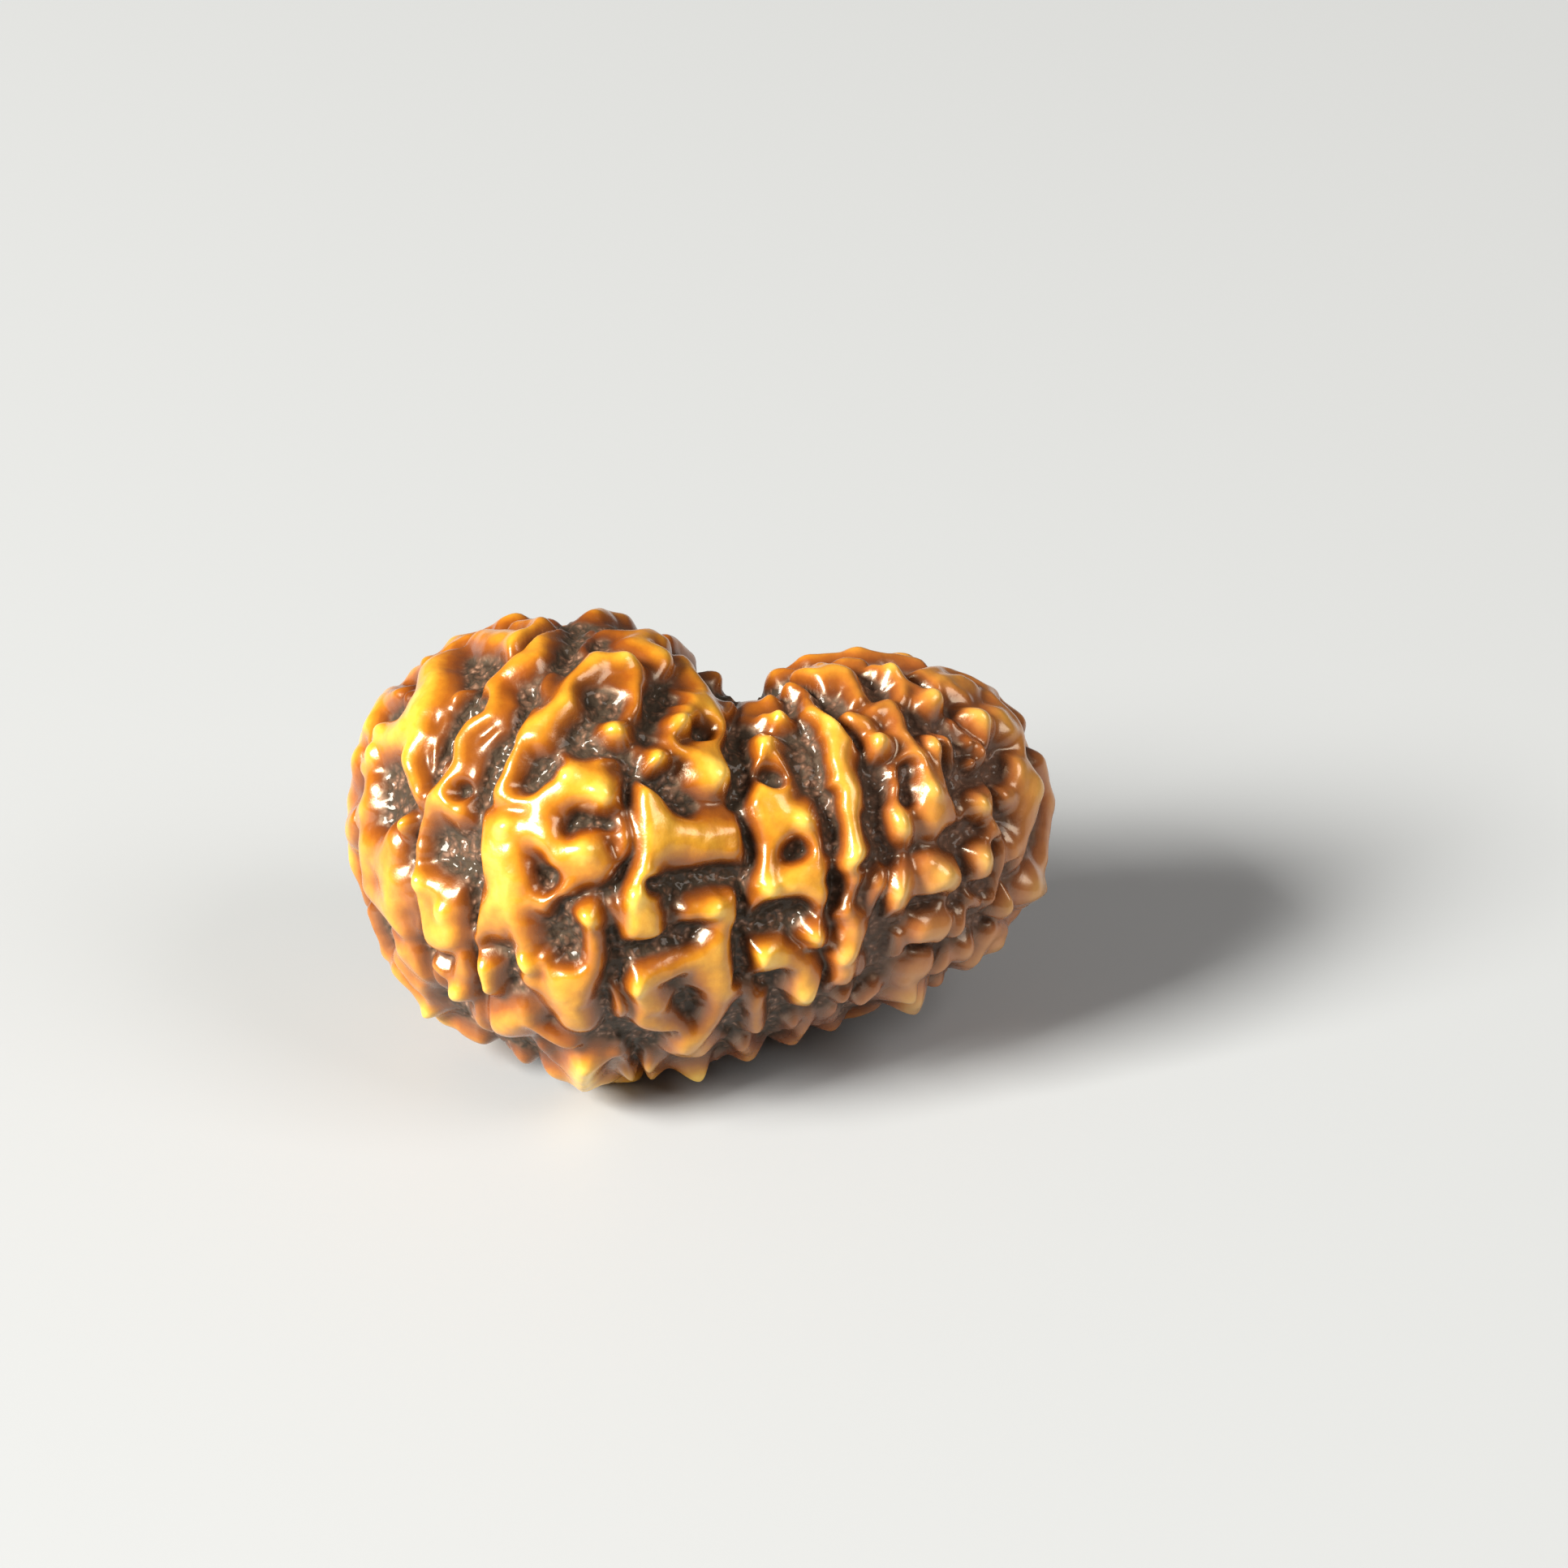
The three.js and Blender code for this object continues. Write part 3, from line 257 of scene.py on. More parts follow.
        ((6.2, 5.7), (6.5, 5.2), (6.4, 4.5), (6.3, 3.8), (6.3, 3)),
        ((5.4, 0.8), (6, 1.5)),
        ((6.3, 2), (7, 1.9), (7.5, 2.3)),
        ((8.7, 15.8), (8.4, 15.1), (8.5, 14.3), (8.5, 13.7), (9, 13.1), (9.4, 12.4)),
        ((8.3, 15), (7.6, 14.5)),
        ((7.4, 16.4), (8.2, 16.2)),
        ((7.4, 13.2), (7.7, 12.9)),
        ((8.4, 11.2), (8.4, 10.6), (8.5, 10), (8.8, 9.5)),
        ((10.3, 13.3), (10.5, 12.4), (10.7, 11.5), (10.9, 10.6), (11.1, 9.8)),
        ((9.5, 15.1), (10.1, 15.3)),
        ((9.4, 16.2), (10.2, 16.4), (10.9, 16.2), (11.6, 15.9), (12.2, 15.5), (12.7, 14.9),
         (13.4, 14.2), (13.7, 13.5), (13.8, 12.8)),
        ((11.5, 14.3), (12, 14.1), (12.1, 13.5), (12.2, 12.9)),
        ((12.7, 10.8), (13.4, 10.8)),
        ((12.6, 9.4), (13, 8.8), (13.2, 8.1), (13.3, 7.5), (13.1, 7)),
        ((10, 6.9), (10.6, 6.9)),
        ((12.8, 6.6), (12.9, 6), (13, 5.6)),
        ((11.4, 4.1), (11.5, 3.4)),
        ((12, 4.3), (12.5, 4.9), (12.9, 4.9)),
        ((8.8, 2.8), (8.9, 2.2)),
    ),
    "fine": (
        ((-13.3, 4.9), (-12.9, 4.4)),
        ((-12.6, 4.4), (-13, 3.8)),
        ((-11.8, 3.5), (-11.7, 2.9)),
        ((-6.8, -0.2), (-6.2, -0.7), (-5.6, -0.9)),
        ((-4.2, -0.6), (-3.6, -0.4)),
        ((-4.6, 18.3), (-4.8, 18), (-5.2, 17.5)),
        ((-4.3, 18.2), (-3.4, 18.1), (-2.6, 18), (-1.9, 17.9)),
        ((-3.7, 12.4),),
        ((-4.3, 12.4),),
        ((-3.9, 13.3),),
        ((-1.8, 13.8),),
        ((-3.2, -0.1), (-2.9, -0.8)),
        ((-1.3, -0.2), (-0.7, -0.3)),
        ((2.1, 10.5),),
        ((2.4, 12.3), (2.9, 12.1)),
        ((1.45, 14.9), (1.45, 14.5)),
        ((5.1, 13.1),),
        ((5.2, 12.5),),
        ((6.5, 13.4),),
        ((5.4, 11.3),),
        ((3, 11.8),),
        ((6.8, 7), (6.5, 6.4), (6.3, 6.1)),
        ((5.6, 3.8), (5.6, 3)),
        ((7.3, 3.6), (7.1, 3)),
        ((7.3, 16.7), (8.5, 16.5)),
        ((9.2, 15.7), (10.2, 15.8), (11, 15.9)),
        ((10.8, 15.5), (11.2, 15.3), (11.5, 15.1)),
        ((11.1, 14.3),),
        ((11.7, 12.4),),
        ((11.6, 13.3),),
        ((11.5, 6.4), (12, 6)),
        ((8.4, 4.6), (8.4, 3.9)),
        ((7.8, 10.2),),
        ((8.4, 11.9),),
        ((8.9, 11.5),),
    ),
    "low": (
        ((-10.8, 15.4), (-11, 14.5), (-11.5, 13.1), (-11.4, 12.2)),
        ((-8.2, 15), (-8.8, 13.9), (-9.6, 12.9), (-9.9, 11.8)),
        ((-6.5, 16.3), (-6.8, 15.6)),
        ((-7.3, 14.6), (-8.1, 14)),
        ((-5.5, 12.7), (-4.4, 12.5)),
        ((-10, 3.4), (-9.8, 2.7)),
        ((-3.4, 16.1), (-3.3, 15.5)),
        ((-5, 7.4), (-4.4, 7.6)),
        ((-4.1, 9.4), (-3.7, 9.3)),
        ((-2.3, 2.1), (-1.7, 1.8)),
        ((-2.2, -0.6), (-1.5, -0.7)),
        ((0.7, 10.2), (1.6, 10.3)),
        ((1.9, 15.2), (2, 14.6)),
        ((1, 15.1), (2.6, 15.2)),
        ((2.5, 14.9), (3.3, 15)),
        ((3, -0.1), (3.8, -0.1)),
        ((8.7, 3.3), (9.6, 3.4), (10.3, 3.4)),
        ((10, 14.4),),
    ),
    "knob": (
        ((-14, 12.6),),
        ((-13.6, 13.5),),
        ((-11.9, 7.1),),
        ((-11, 5.9),),
        ((-12.6, 9.6),),
        ((-9.2, 3.5), (-9.2, 2.9)),
        ((-10.3, 2.4),),
        ((-7.5, 3.7),),
        ((-8.3, 9.5),),
        ((-5.5, 11.8),),
        ((-4.2, 10.9),),
        ((-4.8, 8.4),),
        ((-4.7, 5.6),),
        ((-3.5, 13.6),),
        ((-3.2, 16.7),),
        ((-2, 12.6),),
        ((-2.9, 6.4),),
        ((-2.9, 2.6),),
        ((-0.9, 14),),
        ((0.6, 11.8),),
        ((0.6, 5.9),),
        ((2.9, 13.1),),
        ((3.4, 14.2),),
        ((4.5, 9.8),),
        ((3, 7),),
        ((2.8, 4),),
        ((5, 4.9),),
        ((4.5, 2.4),),
        ((5.8, 14.1),),
        ((6.3, 4.1),),
        ((6.6, 8.3),),
        ((7.5, 13.1),),
        ((8.2, 16.1),),
        ((8.6, 9.6),),
        ((8.4, 6.8),),
        ((10.4, 7.4),),
        ((10.1, 13.1),),
        ((9.8, 11),),
        ((9.9, 15.1),),
        ((11.8, 14),),
        ((12, 8.1),),
        ((12, 10.4),),
        ((11.5, 3.8),),
        ((12.9, 6.2),),
        ((12.4, 4.5),),
        ((14.2, 11.2),),
    ),
    "spike": (
        ((14, 7), (14.2, 6.9)),
        ((8.9, 2.4), (8.8, 2)),
        ((-4.9, -0.6), (-4.8, -1.2)),
        ((-0.1, -0.9), (-0.2, -1.4)),
        ((-2.6, -0.9), (-2.4, -1.4)),
        ((-11.5, 1.6),),
    ),
}

# Pits between the ridges, by half width.
PIT_KINDS = {"hollow": 0.72, "hole": 0.5, "valley": 0.38, "slit": 0.22}
PITS = {
    "hollow": (
        ((-11, 8.6), (-10.5, 8.3)),
        ((-13.4, 11.6), (-13.4, 10.7)),
        ((-9.7, 16.2), (-9.3, 16.9)),
        ((-4.4, 15.2), (-3.8, 15.1)),
        ((-5.1, 13.4), (-3.7, 13.2)),
        ((3, 5.6), (4.2, 5.5)),
        ((4.5, 12.9), (4.6, 11.9)),
        ((14.2, 8.6), (14.4, 8.9)),
    ),
    "hole": (
        ((-7.5, 15.3),),
        ((-5.7, 16.8), (-5.7, 17.4)),
        ((-5.3, 9.6),),
        ((-6.7, 7.35),),
        ((-7.3, 11.5), (-6.4, 12.1)),
        ((-2, 11.8), (-0.5, 10.6)),
        ((-5.7, 3.8), (-5.8, 5.8)),
        ((-0.5, 1.9),),
        ((-0.5, 4.8),),
        ((0.3, 13.7),),
        ((3, 11.8),),
        ((3.4, 13.4), (4.3, 13.9)),
        ((4.1, 8.4),),
        ((4.3, 4.7),),
        ((2.8, 2.7),),
        ((7.6, 11.9), (7.6, 10.9)),
        ((7.7, 4.6), (7.8, 3.8)),
        ((9.6, 14.3), (10.4, 14.1)),
        ((12.9, 12.5), (13, 11.9)),
        ((11.6, 11.6),),
        ((11, 8.9), (11.9, 9.2)),
        ((8.1, 8.3),),
    ),
    "valley": (
        ((-11, 13.4), (-10.2, 14.5), (-9.5, 15.1)),
        ((-8.4, 13.2), (-8.9, 12.6), (-9.2, 11.8), (-9.3, 10.8)),
        ((-13.2, 10.6), (-13.8, 9.9)),
        ((-13, 14.7),),
        ((-10.4, 11.2),),
        ((-8.4, 3.3),),
        ((-3.4, 3.7), (-1.8, 4.3), (-0.8, 4.8)),
        ((-2, 6.9), (-0.6, 7.3), (0.6, 7.4), (1.7, 7.4)),
        ((-3, 0.2), (-1.2, 0.5)),
        ((-1.2, 15.5), (-0.9, 15.2)),
        ((1.6, 14), (1.5, 12.8), (1.7, 11.4), (1.8, 10.6)),
        ((5.1, 15.4), (5.9, 14.9)),
        ((5.5, 10.7), (5.6, 9.6), (5.6, 8.7)),
        ((3.3, 1.9), (3.4, 1)),
        ((7.4, 10), (7.4, 9), (7.2, 8)),
        ((5.9, 7.2),),
        ((9.1, 12), (8.9, 10.8)),
        ((12, 6.8), (12.5, 6.7)),
        ((9.5, 6.1), (10.2, 6.2)),
        ((11.1, 6),),
    ),
    "slit": (
        ((-3.8, 6.9), (-3.7, 4.6), (-3.8, 2.4), (-3.8, 0.6)),
        ((-9.9, 7.6), (-9.9, 5)),
        ((-4.8, 9.7), (-3.8, 9.7)),
        ((-12.6, 8.4),),
        ((1.8, 6.9), (1.9, 4.2), (1.6, 2.8)),
        ((9.1, 4.2), (10.5, 4.2)),
        ((12.75, 8.8), (12.75, 7.5)),
        ((11.6, 4.8), (12.6, 5.3)),
        ((13.4, 7.9), (13.4, 7)),
    ),
}

# The sides the drawing does not show: warts at seeded places, joined to some neighbours.
SEED = 15
WART_TRIES = 6000
WART_SPACING = 1.75
OUT_OF_SIGHT = 0.08  # warts grow where the cosine towards the camera is less
FURROW_CLEARANCE = 0.55
JOIN_REACH = 2.9
JOINED_LARGE = 0.8  # share of near neighbours joined on the large lobe
JOINED_SMALL = 0.45
LOBE_BORDER = 3  # the X from which a join counts as on the small lobe
JOIN_KINDS = ("wide", "wide", "main", "narrow")

# Mesh: 20 times the square of EDGE_PARTS triangles, set closer on the camera's side.
EDGE_PARTS = 98
FRONT_DENSITY = 1.2
SMOOTHING_ROUNDS = 2

# Grains on the pit floors and unevenness on the ridges, in millimetres.
GRAIN_SIZE, GRAIN_HEIGHT = 0.42, 0.27
LUMP_SIZE, LUMP_HEIGHT = 1.6, 0.09
DIMPLE_SIZE, DIMPLE_HEIGHT = 0.6, 0.04
PIT_EDGE = (0.1, 0.5)  # heights between which pits turn into ridges

# The wood's colours by level, from 0 on the pit floors to 1 on the highest crests. The dark low
# levels are partly painted shade on the slopes and pit edges.
LEVEL_PER_MILLIMETRE = 0.8
WOOD_WITH_PAINTED_SHADE = (
    (0.0, (0.026, 0.010, 0.007)),
    (0.16, (0.060, 0.020, 0.009)),
    (0.34, (0.130, 0.032, 0.005)),
    (0.56, (0.285, 0.078, 0.004)),
    (0.72, (0.480, 0.180, 0.009)),
    (0.86, (0.680, 0.330, 0.024)),
    (1.0, (0.850, 0.530, 0.080)),
)
AMBER = (0.85, 0.62, 0.42)  # clouds that darken the wood
# A pinkish light painted on the small lobe's low side, strongest on the crests.
PAINTED_PINK_LIGHT, PAINTED_PINK_LIGHT_SHARE = (0.43, 0.175, 0.09), 0.75

# The grains' colours from their middles outwards, near black between grains and darker for the
# shaded pits as painted shade, and the small lobe's pits under a painted pinkish light.
GRAINS_WITH_PAINTED_SHADE = ((0.0, (0.32, 0.18, 0.12)), (0.3, (0.095, 0.040, 0.023)), (0.66, (0.016, 0.006, 0.003)))
# A pinkish light painted on the small lobe's pit floors.
PAINTED_PINK_PIT_LIGHT, PAINTED_PINK_PIT_LIGHT_SHARE = (0.15, 0.060, 0.040), 0.4
OILY_TINT = (1, 0.85, 0.62, 1)

# Sizes in the wood's pattern, in metres.
MOTTLE_SIZE = 0.0007
CLOUD_SIZE = 0.004
CELL_SIZE = 0.0003
CELL_WARP = 0.0005
CELL_PATCH_SIZE = 0.0009
FINE_SIZE = 0.0004
BUMP_DEPTH = 0.0001


def smoothstep(x, low, high):
    t = np.clip((x - low) / (high - low), 0, 1)
    return t * t * (3 - 2 * t)


def unit(v):
    return v / np.linalg.norm(v, axis=-1, keepdims=True)


def section_at(x, lift):
    """Radius before the notch and centre of the body's cross-sections at x."""
    lobe = smoothstep(x, *WAIST)
    share = x / (HALF_LENGTH + lift)
    end = np.maximum(1 - np.abs(share) ** BLUNTNESS, 0) ** (1 / BLUNTNESS)
    sag = BELLY_DROP * np.exp(-(((x - BELLY_X) / BELLY_WIDTH) ** 2))
    radius = (LARGE_RADIUS + (SMALL_RADIUS - LARGE_RADIUS) * lobe + lift) * end
    centre_y = SPINE_BOW * share**2 + SMALL_LOBE_BACK * lobe + MIDDLE_BACK
    droop = END_DROOP * np.maximum(-share, 0) ** 2
    centre_z = LARGE_CENTRE + (SMALL_CENTRE - LARGE_CENTRE) * lobe - sag - droop
    return radius, centre_y, centre_z


def notch_at(x, y, z):
    towards = np.maximum(y * math.sin(NOTCH_LEAN) + z * math.cos(NOTCH_LEAN), 0) ** 1.5
    return NOTCH_DEPTH * np.exp(-(((x - NOTCH_X) / NOTCH_WIDTH) ** 2)) * towards


def body_points(q, lift=0.0):
    """The body's points for unit vectors q. A lift swells the whole body."""
    x = (HALF_LENGTH + lift) * q[:, 0]
    ring = np.maximum(np.hypot(q[:, 1], q[:, 2]), 1e-9)
    y, z = q[:, 1] / ring, q[:, 2] / ring
    radius, centre_y, centre_z = section_at(x, lift)
    radius = radius - notch_at(x, y, z)
    return np.stack([x, centre_y + radius * y, centre_z + radius * z], axis=1)


def normals_at(q):
    side = np.where(np.abs(q[:, :1]) < 0.9, [[1.0, 0, 0]], [[0, 1.0, 0]])
    along = unit(np.cross(q, side))
    across = np.cross(q, along)
    step = 1e-3
    slopes = [
        body_points(unit(q + step * d)) - body_points(unit(q - step * d)) for d in (along, across)
    ]
    return unit(np.cross(*slopes))


def crest_points(q):
    return body_points(q) + CREST * normals_at(q)


def clearance(p):
    """How far p is outside the body swelled by CREST, and the unit vectors that lead to it."""
    half = HALF_LENGTH + CREST
    x = np.clip(p[:, 0], -0.9999 * half, 0.9999 * half)
    radius, centre_y, centre_z = section_at(x, CREST)
    reach = np.maximum(np.hypot(p[:, 1] - centre_y, p[:, 2] - centre_z), 1e-9)
    y, z = (p[:, 1] - centre_y) / reach, (p[:, 2] - centre_z) / reach
    ring = np.sqrt(1 - (x / half) ** 2)
    gap = reach - radius + notch_at(x, y, z) + 3 * np.abs(p[:, 0] - x)
    return gap, np.stack([x / half, ring * y, ring * z], axis=1)


def sighted_at(drawn):
    """Unit vectors met by the lines of sight through drawing points."""
    target = DRAWING_ORIGIN + drawn[:, :1] * DRAWING_RIGHT + drawn[:, 1:] * DRAWING_UP
    ray = unit(target - EYE)
    reaches = np.arange(325, 360, 0.5)
    gaps = np.stack([clearance(EYE + t * ray)[0] for t in reaches])
    met = (gaps < 0).any(axis=0)
    inside = reaches[np.where(met, (gaps < 0).argmax(axis=0), gaps.argmin(axis=0))]
    outside = np.where(met, inside - 0.5, inside)
    for _ in range(30):
        middle = (inside + outside) / 2
        deep = clearance(EYE + middle[:, None] * ray)[0] < 0
        inside = np.where(deep & met, middle, inside)
        outside = np.where(deep | ~met, outside, middle)
    return clearance(EYE + inside[:, None] * ray)[1]


def seen_at(p):
    """Where points are seen on the drawing plane."""
    ray = p - EYE
    depth = (DRAWING_ORIGIN - EYE) @ SIGHT
    on_plane = EYE + ray * (depth / (ray @ SIGHT))[:, None] - DRAWING_ORIGIN
    return np.stack([on_plane @ DRAWING_RIGHT, on_plane @ DRAWING_UP], axis=1)


def placed_at(drawn):
    """Unit vectors whose crest points are seen at the drawing points."""
    aim = drawn.copy()
    for _ in range(5):
        aim += 0.8 * (drawn - seen_at(crest_points(sighted_at(aim))))
    return sighted_at(aim)


def pole(x, lean, up):
    ring = math.sqrt(1 - x * x)
    return np.array([x, ring * math.sin(lean), up * ring * math.cos(lean)])


# Bearings are measured in a flat map of the sphere that has the tip at infinity.
MAP_NORMAL = -pole(TIP_X, TIP_LEAN, -1)
MAP_X = unit(np.cross([0, 1.0, 0], MAP_NORMAL))
MAP_Y = np.cross(MAP_NORMAL, MAP_X)


def to_map(q):
    return (q @ MAP_X + 1j * (q @ MAP_Y)) / (1 + q @ MAP_NORMAL + 1e-9)


def from_map(z):
    r2 = np.abs(z)[:, None] ** 2
    flat = z.real[:, None] * MAP_X + z.imag[:, None] * MAP_Y
    return (2 * flat + (1 - r2) * MAP_NORMAL) / (1 + r2)


def wandering(q):
    """Furrows wander a little to either side of their way."""
    x, y, z = q.T

    def wave(a, b):
        return 0.016 * np.sin(13 * a + 5 * b) + 0.007 * np.sin(29 * b - 11 * a)

    return unit(q + np.stack([wave(y, z), wave(z, x), wave(x, y)], axis=1))


def furrow_near(q):
    """The distance in mm to the nearest furrow, and the number of the face."""
    q = wandering(q)
    stalk_end = to_map(pole(STALK_END_X, STALK_END_LEAN, 1))
    arm = to_map(q) - stalk_end
    turned = from_map(stalk_end + arm * np.exp(1e-3j))
    per_radian = np.linalg.norm(body_points(turned, CREST) - body_points(q, CREST), axis=1) / 1e-3
    bearing = np.degrees(np.angle(arm)) % 360
    offset = np.abs((bearing[:, None] - FURROWS + 180) % 360 - 180).min(axis=1)
    face = np.searchsorted(FURROWS, bearing) % len(FURROWS)
    return np.radians(offset) * per_radian, face


def drawn_strokes(drawing):
    kinds = [(kind, line) for kind, lines in drawing.items() for line in lines]
    placed = placed_at(np.array([point for _, line in kinds for point in line], float))
    strokes, start = [], 0
    for kind, line in kinds:
        strokes.append((kind, placed[start : start + len(line)]))
        start += len(line)
    return strokes


def seeded_random(seed):
    """Random numbers from 0 to 1, the same in every run and the same as the solid's."""
    state = seed
    word = 0xFFFFFFFF

    def draw():
        nonlocal state
        state = (state + 0x6D2B79F5) & word
        t = ((state ^ (state >> 15)) * (state | 1)) & word
        t ^= (t + (((t ^ (t >> 7)) * (t | 61)) & word)) & word
        return ((t ^ (t >> 14)) & word) / 4294967296

    return draw


def hidden_warts(random):
    draws = []
    for _ in range(WART_TRIES):
        x = 2 * random() - 1
        turn = 2 * math.pi * random()
        ring = math.sqrt(1 - x * x)
        draws.append((x, ring * math.sin(turn), ring * math.cos(turn)))
    q = np.array(draws)
    points = crest_points(q)
    facing = (normals_at(q) * unit(EYE - points)).sum(axis=1)
    distance, face = furrow_near(q)
    kept = []
    taken = []
    for i in np.nonzero(facing <= OUT_OF_SIGHT)[0]:
        if any(np.linalg.norm(points[i] - points[j]) < WART_SPACING for j in taken):
            continue
        if distance[i] >= FURROW_CLEARANCE:
            taken.append(i)
            kept.append((q[i], points[i], face[i]))
    return kept


def hidden_strokes():
    random = seeded_random(SEED)
    warts = hidden_warts(random)
    strokes = []
    joined = set()
    for i, (q, point, face) in enumerate(warts):
        for j in range(i + 1, len(warts)):
            other_q, other_point, other_face = warts[j]
            if other_face != face or np.linalg.norm(point - other_point) > JOIN_REACH:
                continue
            on_large = point[0] + other_point[0] < 2 * LOBE_BORDER
            if random() > (JOINED_LARGE if on_large else JOINED_SMALL):
                continue
            bend = np.array([random() - 0.5, random() - 0.5, random() - 0.5])
            middle = unit(q + other_q + 0.12 * bend)
            kind = JOIN_KINDS[int(4 * random())]
            strokes.append((kind, np.array([q, middle, other_q])))
            joined |= {i, j}
    single = [("main", q[None]) for i, (q, _, _) in enumerate(warts) if i not in joined]
    return strokes + single


def wavy(p):
    """A slight waviness, so that no ridge runs quite straight."""
    x, y, z = p.T
    waves = [np.sin(2.1 * y + 1.3 * z), np.sin(1.7 * z + 1.9 * x), np.sin(2.3 * x - 1.1 * y)]
    return p + 0.1 * np.stack(waves, axis=1)


def distance_to_path(points, path):
    nearest = np.full(len(points), np.inf)
    starts, ends = (path[:-1], path[1:]) if len(path) > 1 else (path, path)
    for start, end in zip(starts, ends):
        along = end - start
        t = np.clip((points - start) @ along / max(along @ along, 1e-9), 0, 1)
        nearest = np.minimum(nearest, np.linalg.norm(points - start - t[:, None] * along, axis=1))
    return nearest


def ridge_profile(share):
    """Height, from 1 down to 0, at a distance given in half widths."""
    crest = np.exp(-0.69 * share**2.2)
    shoulder = np.exp(-0.69 * (share / SHOULDER_WIDTH) ** 3.5)
    return (1 - SHOULDER_SHARE) * crest + SHOULDER_SHARE * shoulder


def near_path(points, path, reach):
    in_box = (points > path.min(axis=0) - reach) & (points < path.max(axis=0) + reach)
    return np.nonzero(in_box.all(axis=1))[0]


def raised_at(points):
    """The height of the ridges, where they run into each other, and of what stands above."""
    x, y, z = points.T
    swell = 1 + SWELL * np.sin(1.7 * x + 0.6 * y) * np.sin(1.5 * z - 0.9 * y)
    total, proud = np.zeros(len(points)), np.zeros(len(points))
    for kind, stroke in drawn_strokes(FRONT) + hidden_strokes():
        half_width, height = KINDS[kind]
        path = crest_points(stroke)
        near = near_path(points, path, RIDGE_REACH * half_width * (1 + SWELL))
        share = distance_to_path(points[near], path) / (half_width * swell[near])
        if kind in PROUD:
            top = height * np.exp(-0.69 * share ** PROUD[kind])
            proud[near] = np.maximum(proud[near], top)
        else:
            total[near] += (height * ridge_profile(share)) ** MERGING
    merged = total ** (1 / MERGING)
    return merged / (1 + (merged / MOST_RELIEF) ** 6) ** (1 / 6), proud


def left_by_pits(points):
    """The share of the height that the drawn pits leave."""
    left = np.ones(len(points))
    for kind, stroke in drawn_strokes(PITS):
        path = crest_points(stroke)
        near = near_path(points, path, 2 * PIT_KINDS[kind])
        share = distance_to_path(points[near], path) / PIT_KINDS[kind]
        left[near] *= 1 - np.exp(-0.69 * share**4)
    return left


def relief_at(q):
    """Height over the pit floor."""
    points = wavy(crest_points(q))
    x, y, z = points.T
    ridges, proud = raised_at(points)
    height = ((ridges * left_by_pits(points)) ** 5 + proud**5) ** (1 / 5)
    strength = 0.7 + 0.3 * np.sin(0.9 * x + 0.8 * y + 1.3 * z)
    furrow = strength * np.exp(-((furrow_near(q)[0] / FURROW_HALF_WIDTH) ** 2))
    return height * (1 - furrow) - FURROW_DEPTH * furrow


def icosahedron():
    """Its corners, and its faces as numbers of corners."""
    golden = (1 + math.sqrt(5)) / 2
    corners = np.array(
        [(0, a, b * golden) for a in (-1, 1) for b in (-1, 1)]
        + [(a, b * golden, 0) for a in (-1, 1) for b in (-1, 1)]
        + [(b * golden, 0, a) for a in (-1, 1) for b in (-1, 1)]
    )
    gaps = np.linalg.norm(corners[:, None] - corners, axis=2)
    joined = np.abs(gaps - 2) < 1e-6
    faces = [
        (i, j, k)
        for i in range(12)
        for j in range(i + 1, 12)
        for k in range(j + 1, 12)
        if joined[i, j] and joined[j, k] and joined[i, k]
    ]
    return corners, faces


def split_face(parts):
    """A face with its edges split into parts: each point's shares of the face's three corners,
    and the small triangles between the points.
    """
    rows, columns = np.meshgrid(np.arange(parts + 1), np.arange(parts + 1), indexing="ij")
    inside = rows + columns <= parts
    rows, columns = rows[inside], columns[inside]
    number = np.full((parts + 2, parts + 2), -1)
    number[rows, columns] = np.arange(len(rows))
    here, down, right = number[rows, columns], number[rows + 1, columns], number[rows, columns + 1]
    across = number[rows + 1, columns + 1]
    upright = np.stack([here, down, right], axis=1)[rows + columns < parts]
    inverted = np.stack([down, across, right], axis=1)[rows + columns < parts - 1]
    shares = np.stack([parts - rows - columns, rows, columns], axis=1) / parts
    return shares, np.concatenate([upright, inverted])


def geodesic_sphere(parts):
    """Unit vectors and triangles of an icosahedron whose edges are split into parts."""
    corners, faces = icosahedron()
    shares, tile = split_face(parts)
    points, triangles = [], []
    for face in faces:
        a, b, c = corners[list(face)]
        outward = np.cross(b - a, c - a) @ a > 0
        b, c = (b, c) if outward else (c, b)
        triangles.append(tile + len(shares) * len(points))
        points.append(shares @ np.stack([a, b, c]))
    points, triangles = np.concatenate(points), np.concatenate(triangles)
    _, first, merged = np.unique(points.round(6), axis=0, return_index=True, return_inverse=True)
    return unit(points[first]), merged.reshape(-1)[triangles]


def drawn_to_front(q):
    """Moves the sphere's points closer together on the camera's side, keeping angles."""
    front = -SIGHT
    cosine = np.clip(q @ front, -1, 1)
    aside = q - cosine[:, None] * front
    aside /= np.maximum(np.linalg.norm(aside, axis=1, keepdims=True), 1e-9)
    half_tangent = np.sqrt((1 - cosine) / (1 + cosine + 1e-12)) / FRONT_DENSITY
    angle = 2 * np.arctan(half_tangent)
    return np.cos(angle)[:, None] * front + np.sin(angle)[:, None] * aside


def smoothed(values, triangles, rounds):
    """Values at the vertices, each averaged with its neighbours."""
    count = np.bincount(triangles.ravel(), minlength=len(values))
    for _ in range(rounds):
        total = np.zeros(len(values))
        for corner, other in ((0, 1), (1, 2), (2, 0)):
            total += np.bincount(triangles[:, corner], values[triangles[:, other]], len(values))
        values = 0.4 * values + 0.6 * total / count
    return values


def grains_at(points):
    """Heights of small rounded grains, from -0.5 to 0.5."""
    heights = []
    for p in points:
        distances, _ = noise.voronoi(Vector(p / GRAIN_SIZE))
        heights.append(0.5 - distances[0])
    return np.array(heights)


def lumps_at(points, size):
    """A soft noise whose blobs are about size millimetres."""
    return np.array([noise.noise(Vector(p / size)) for p in points])


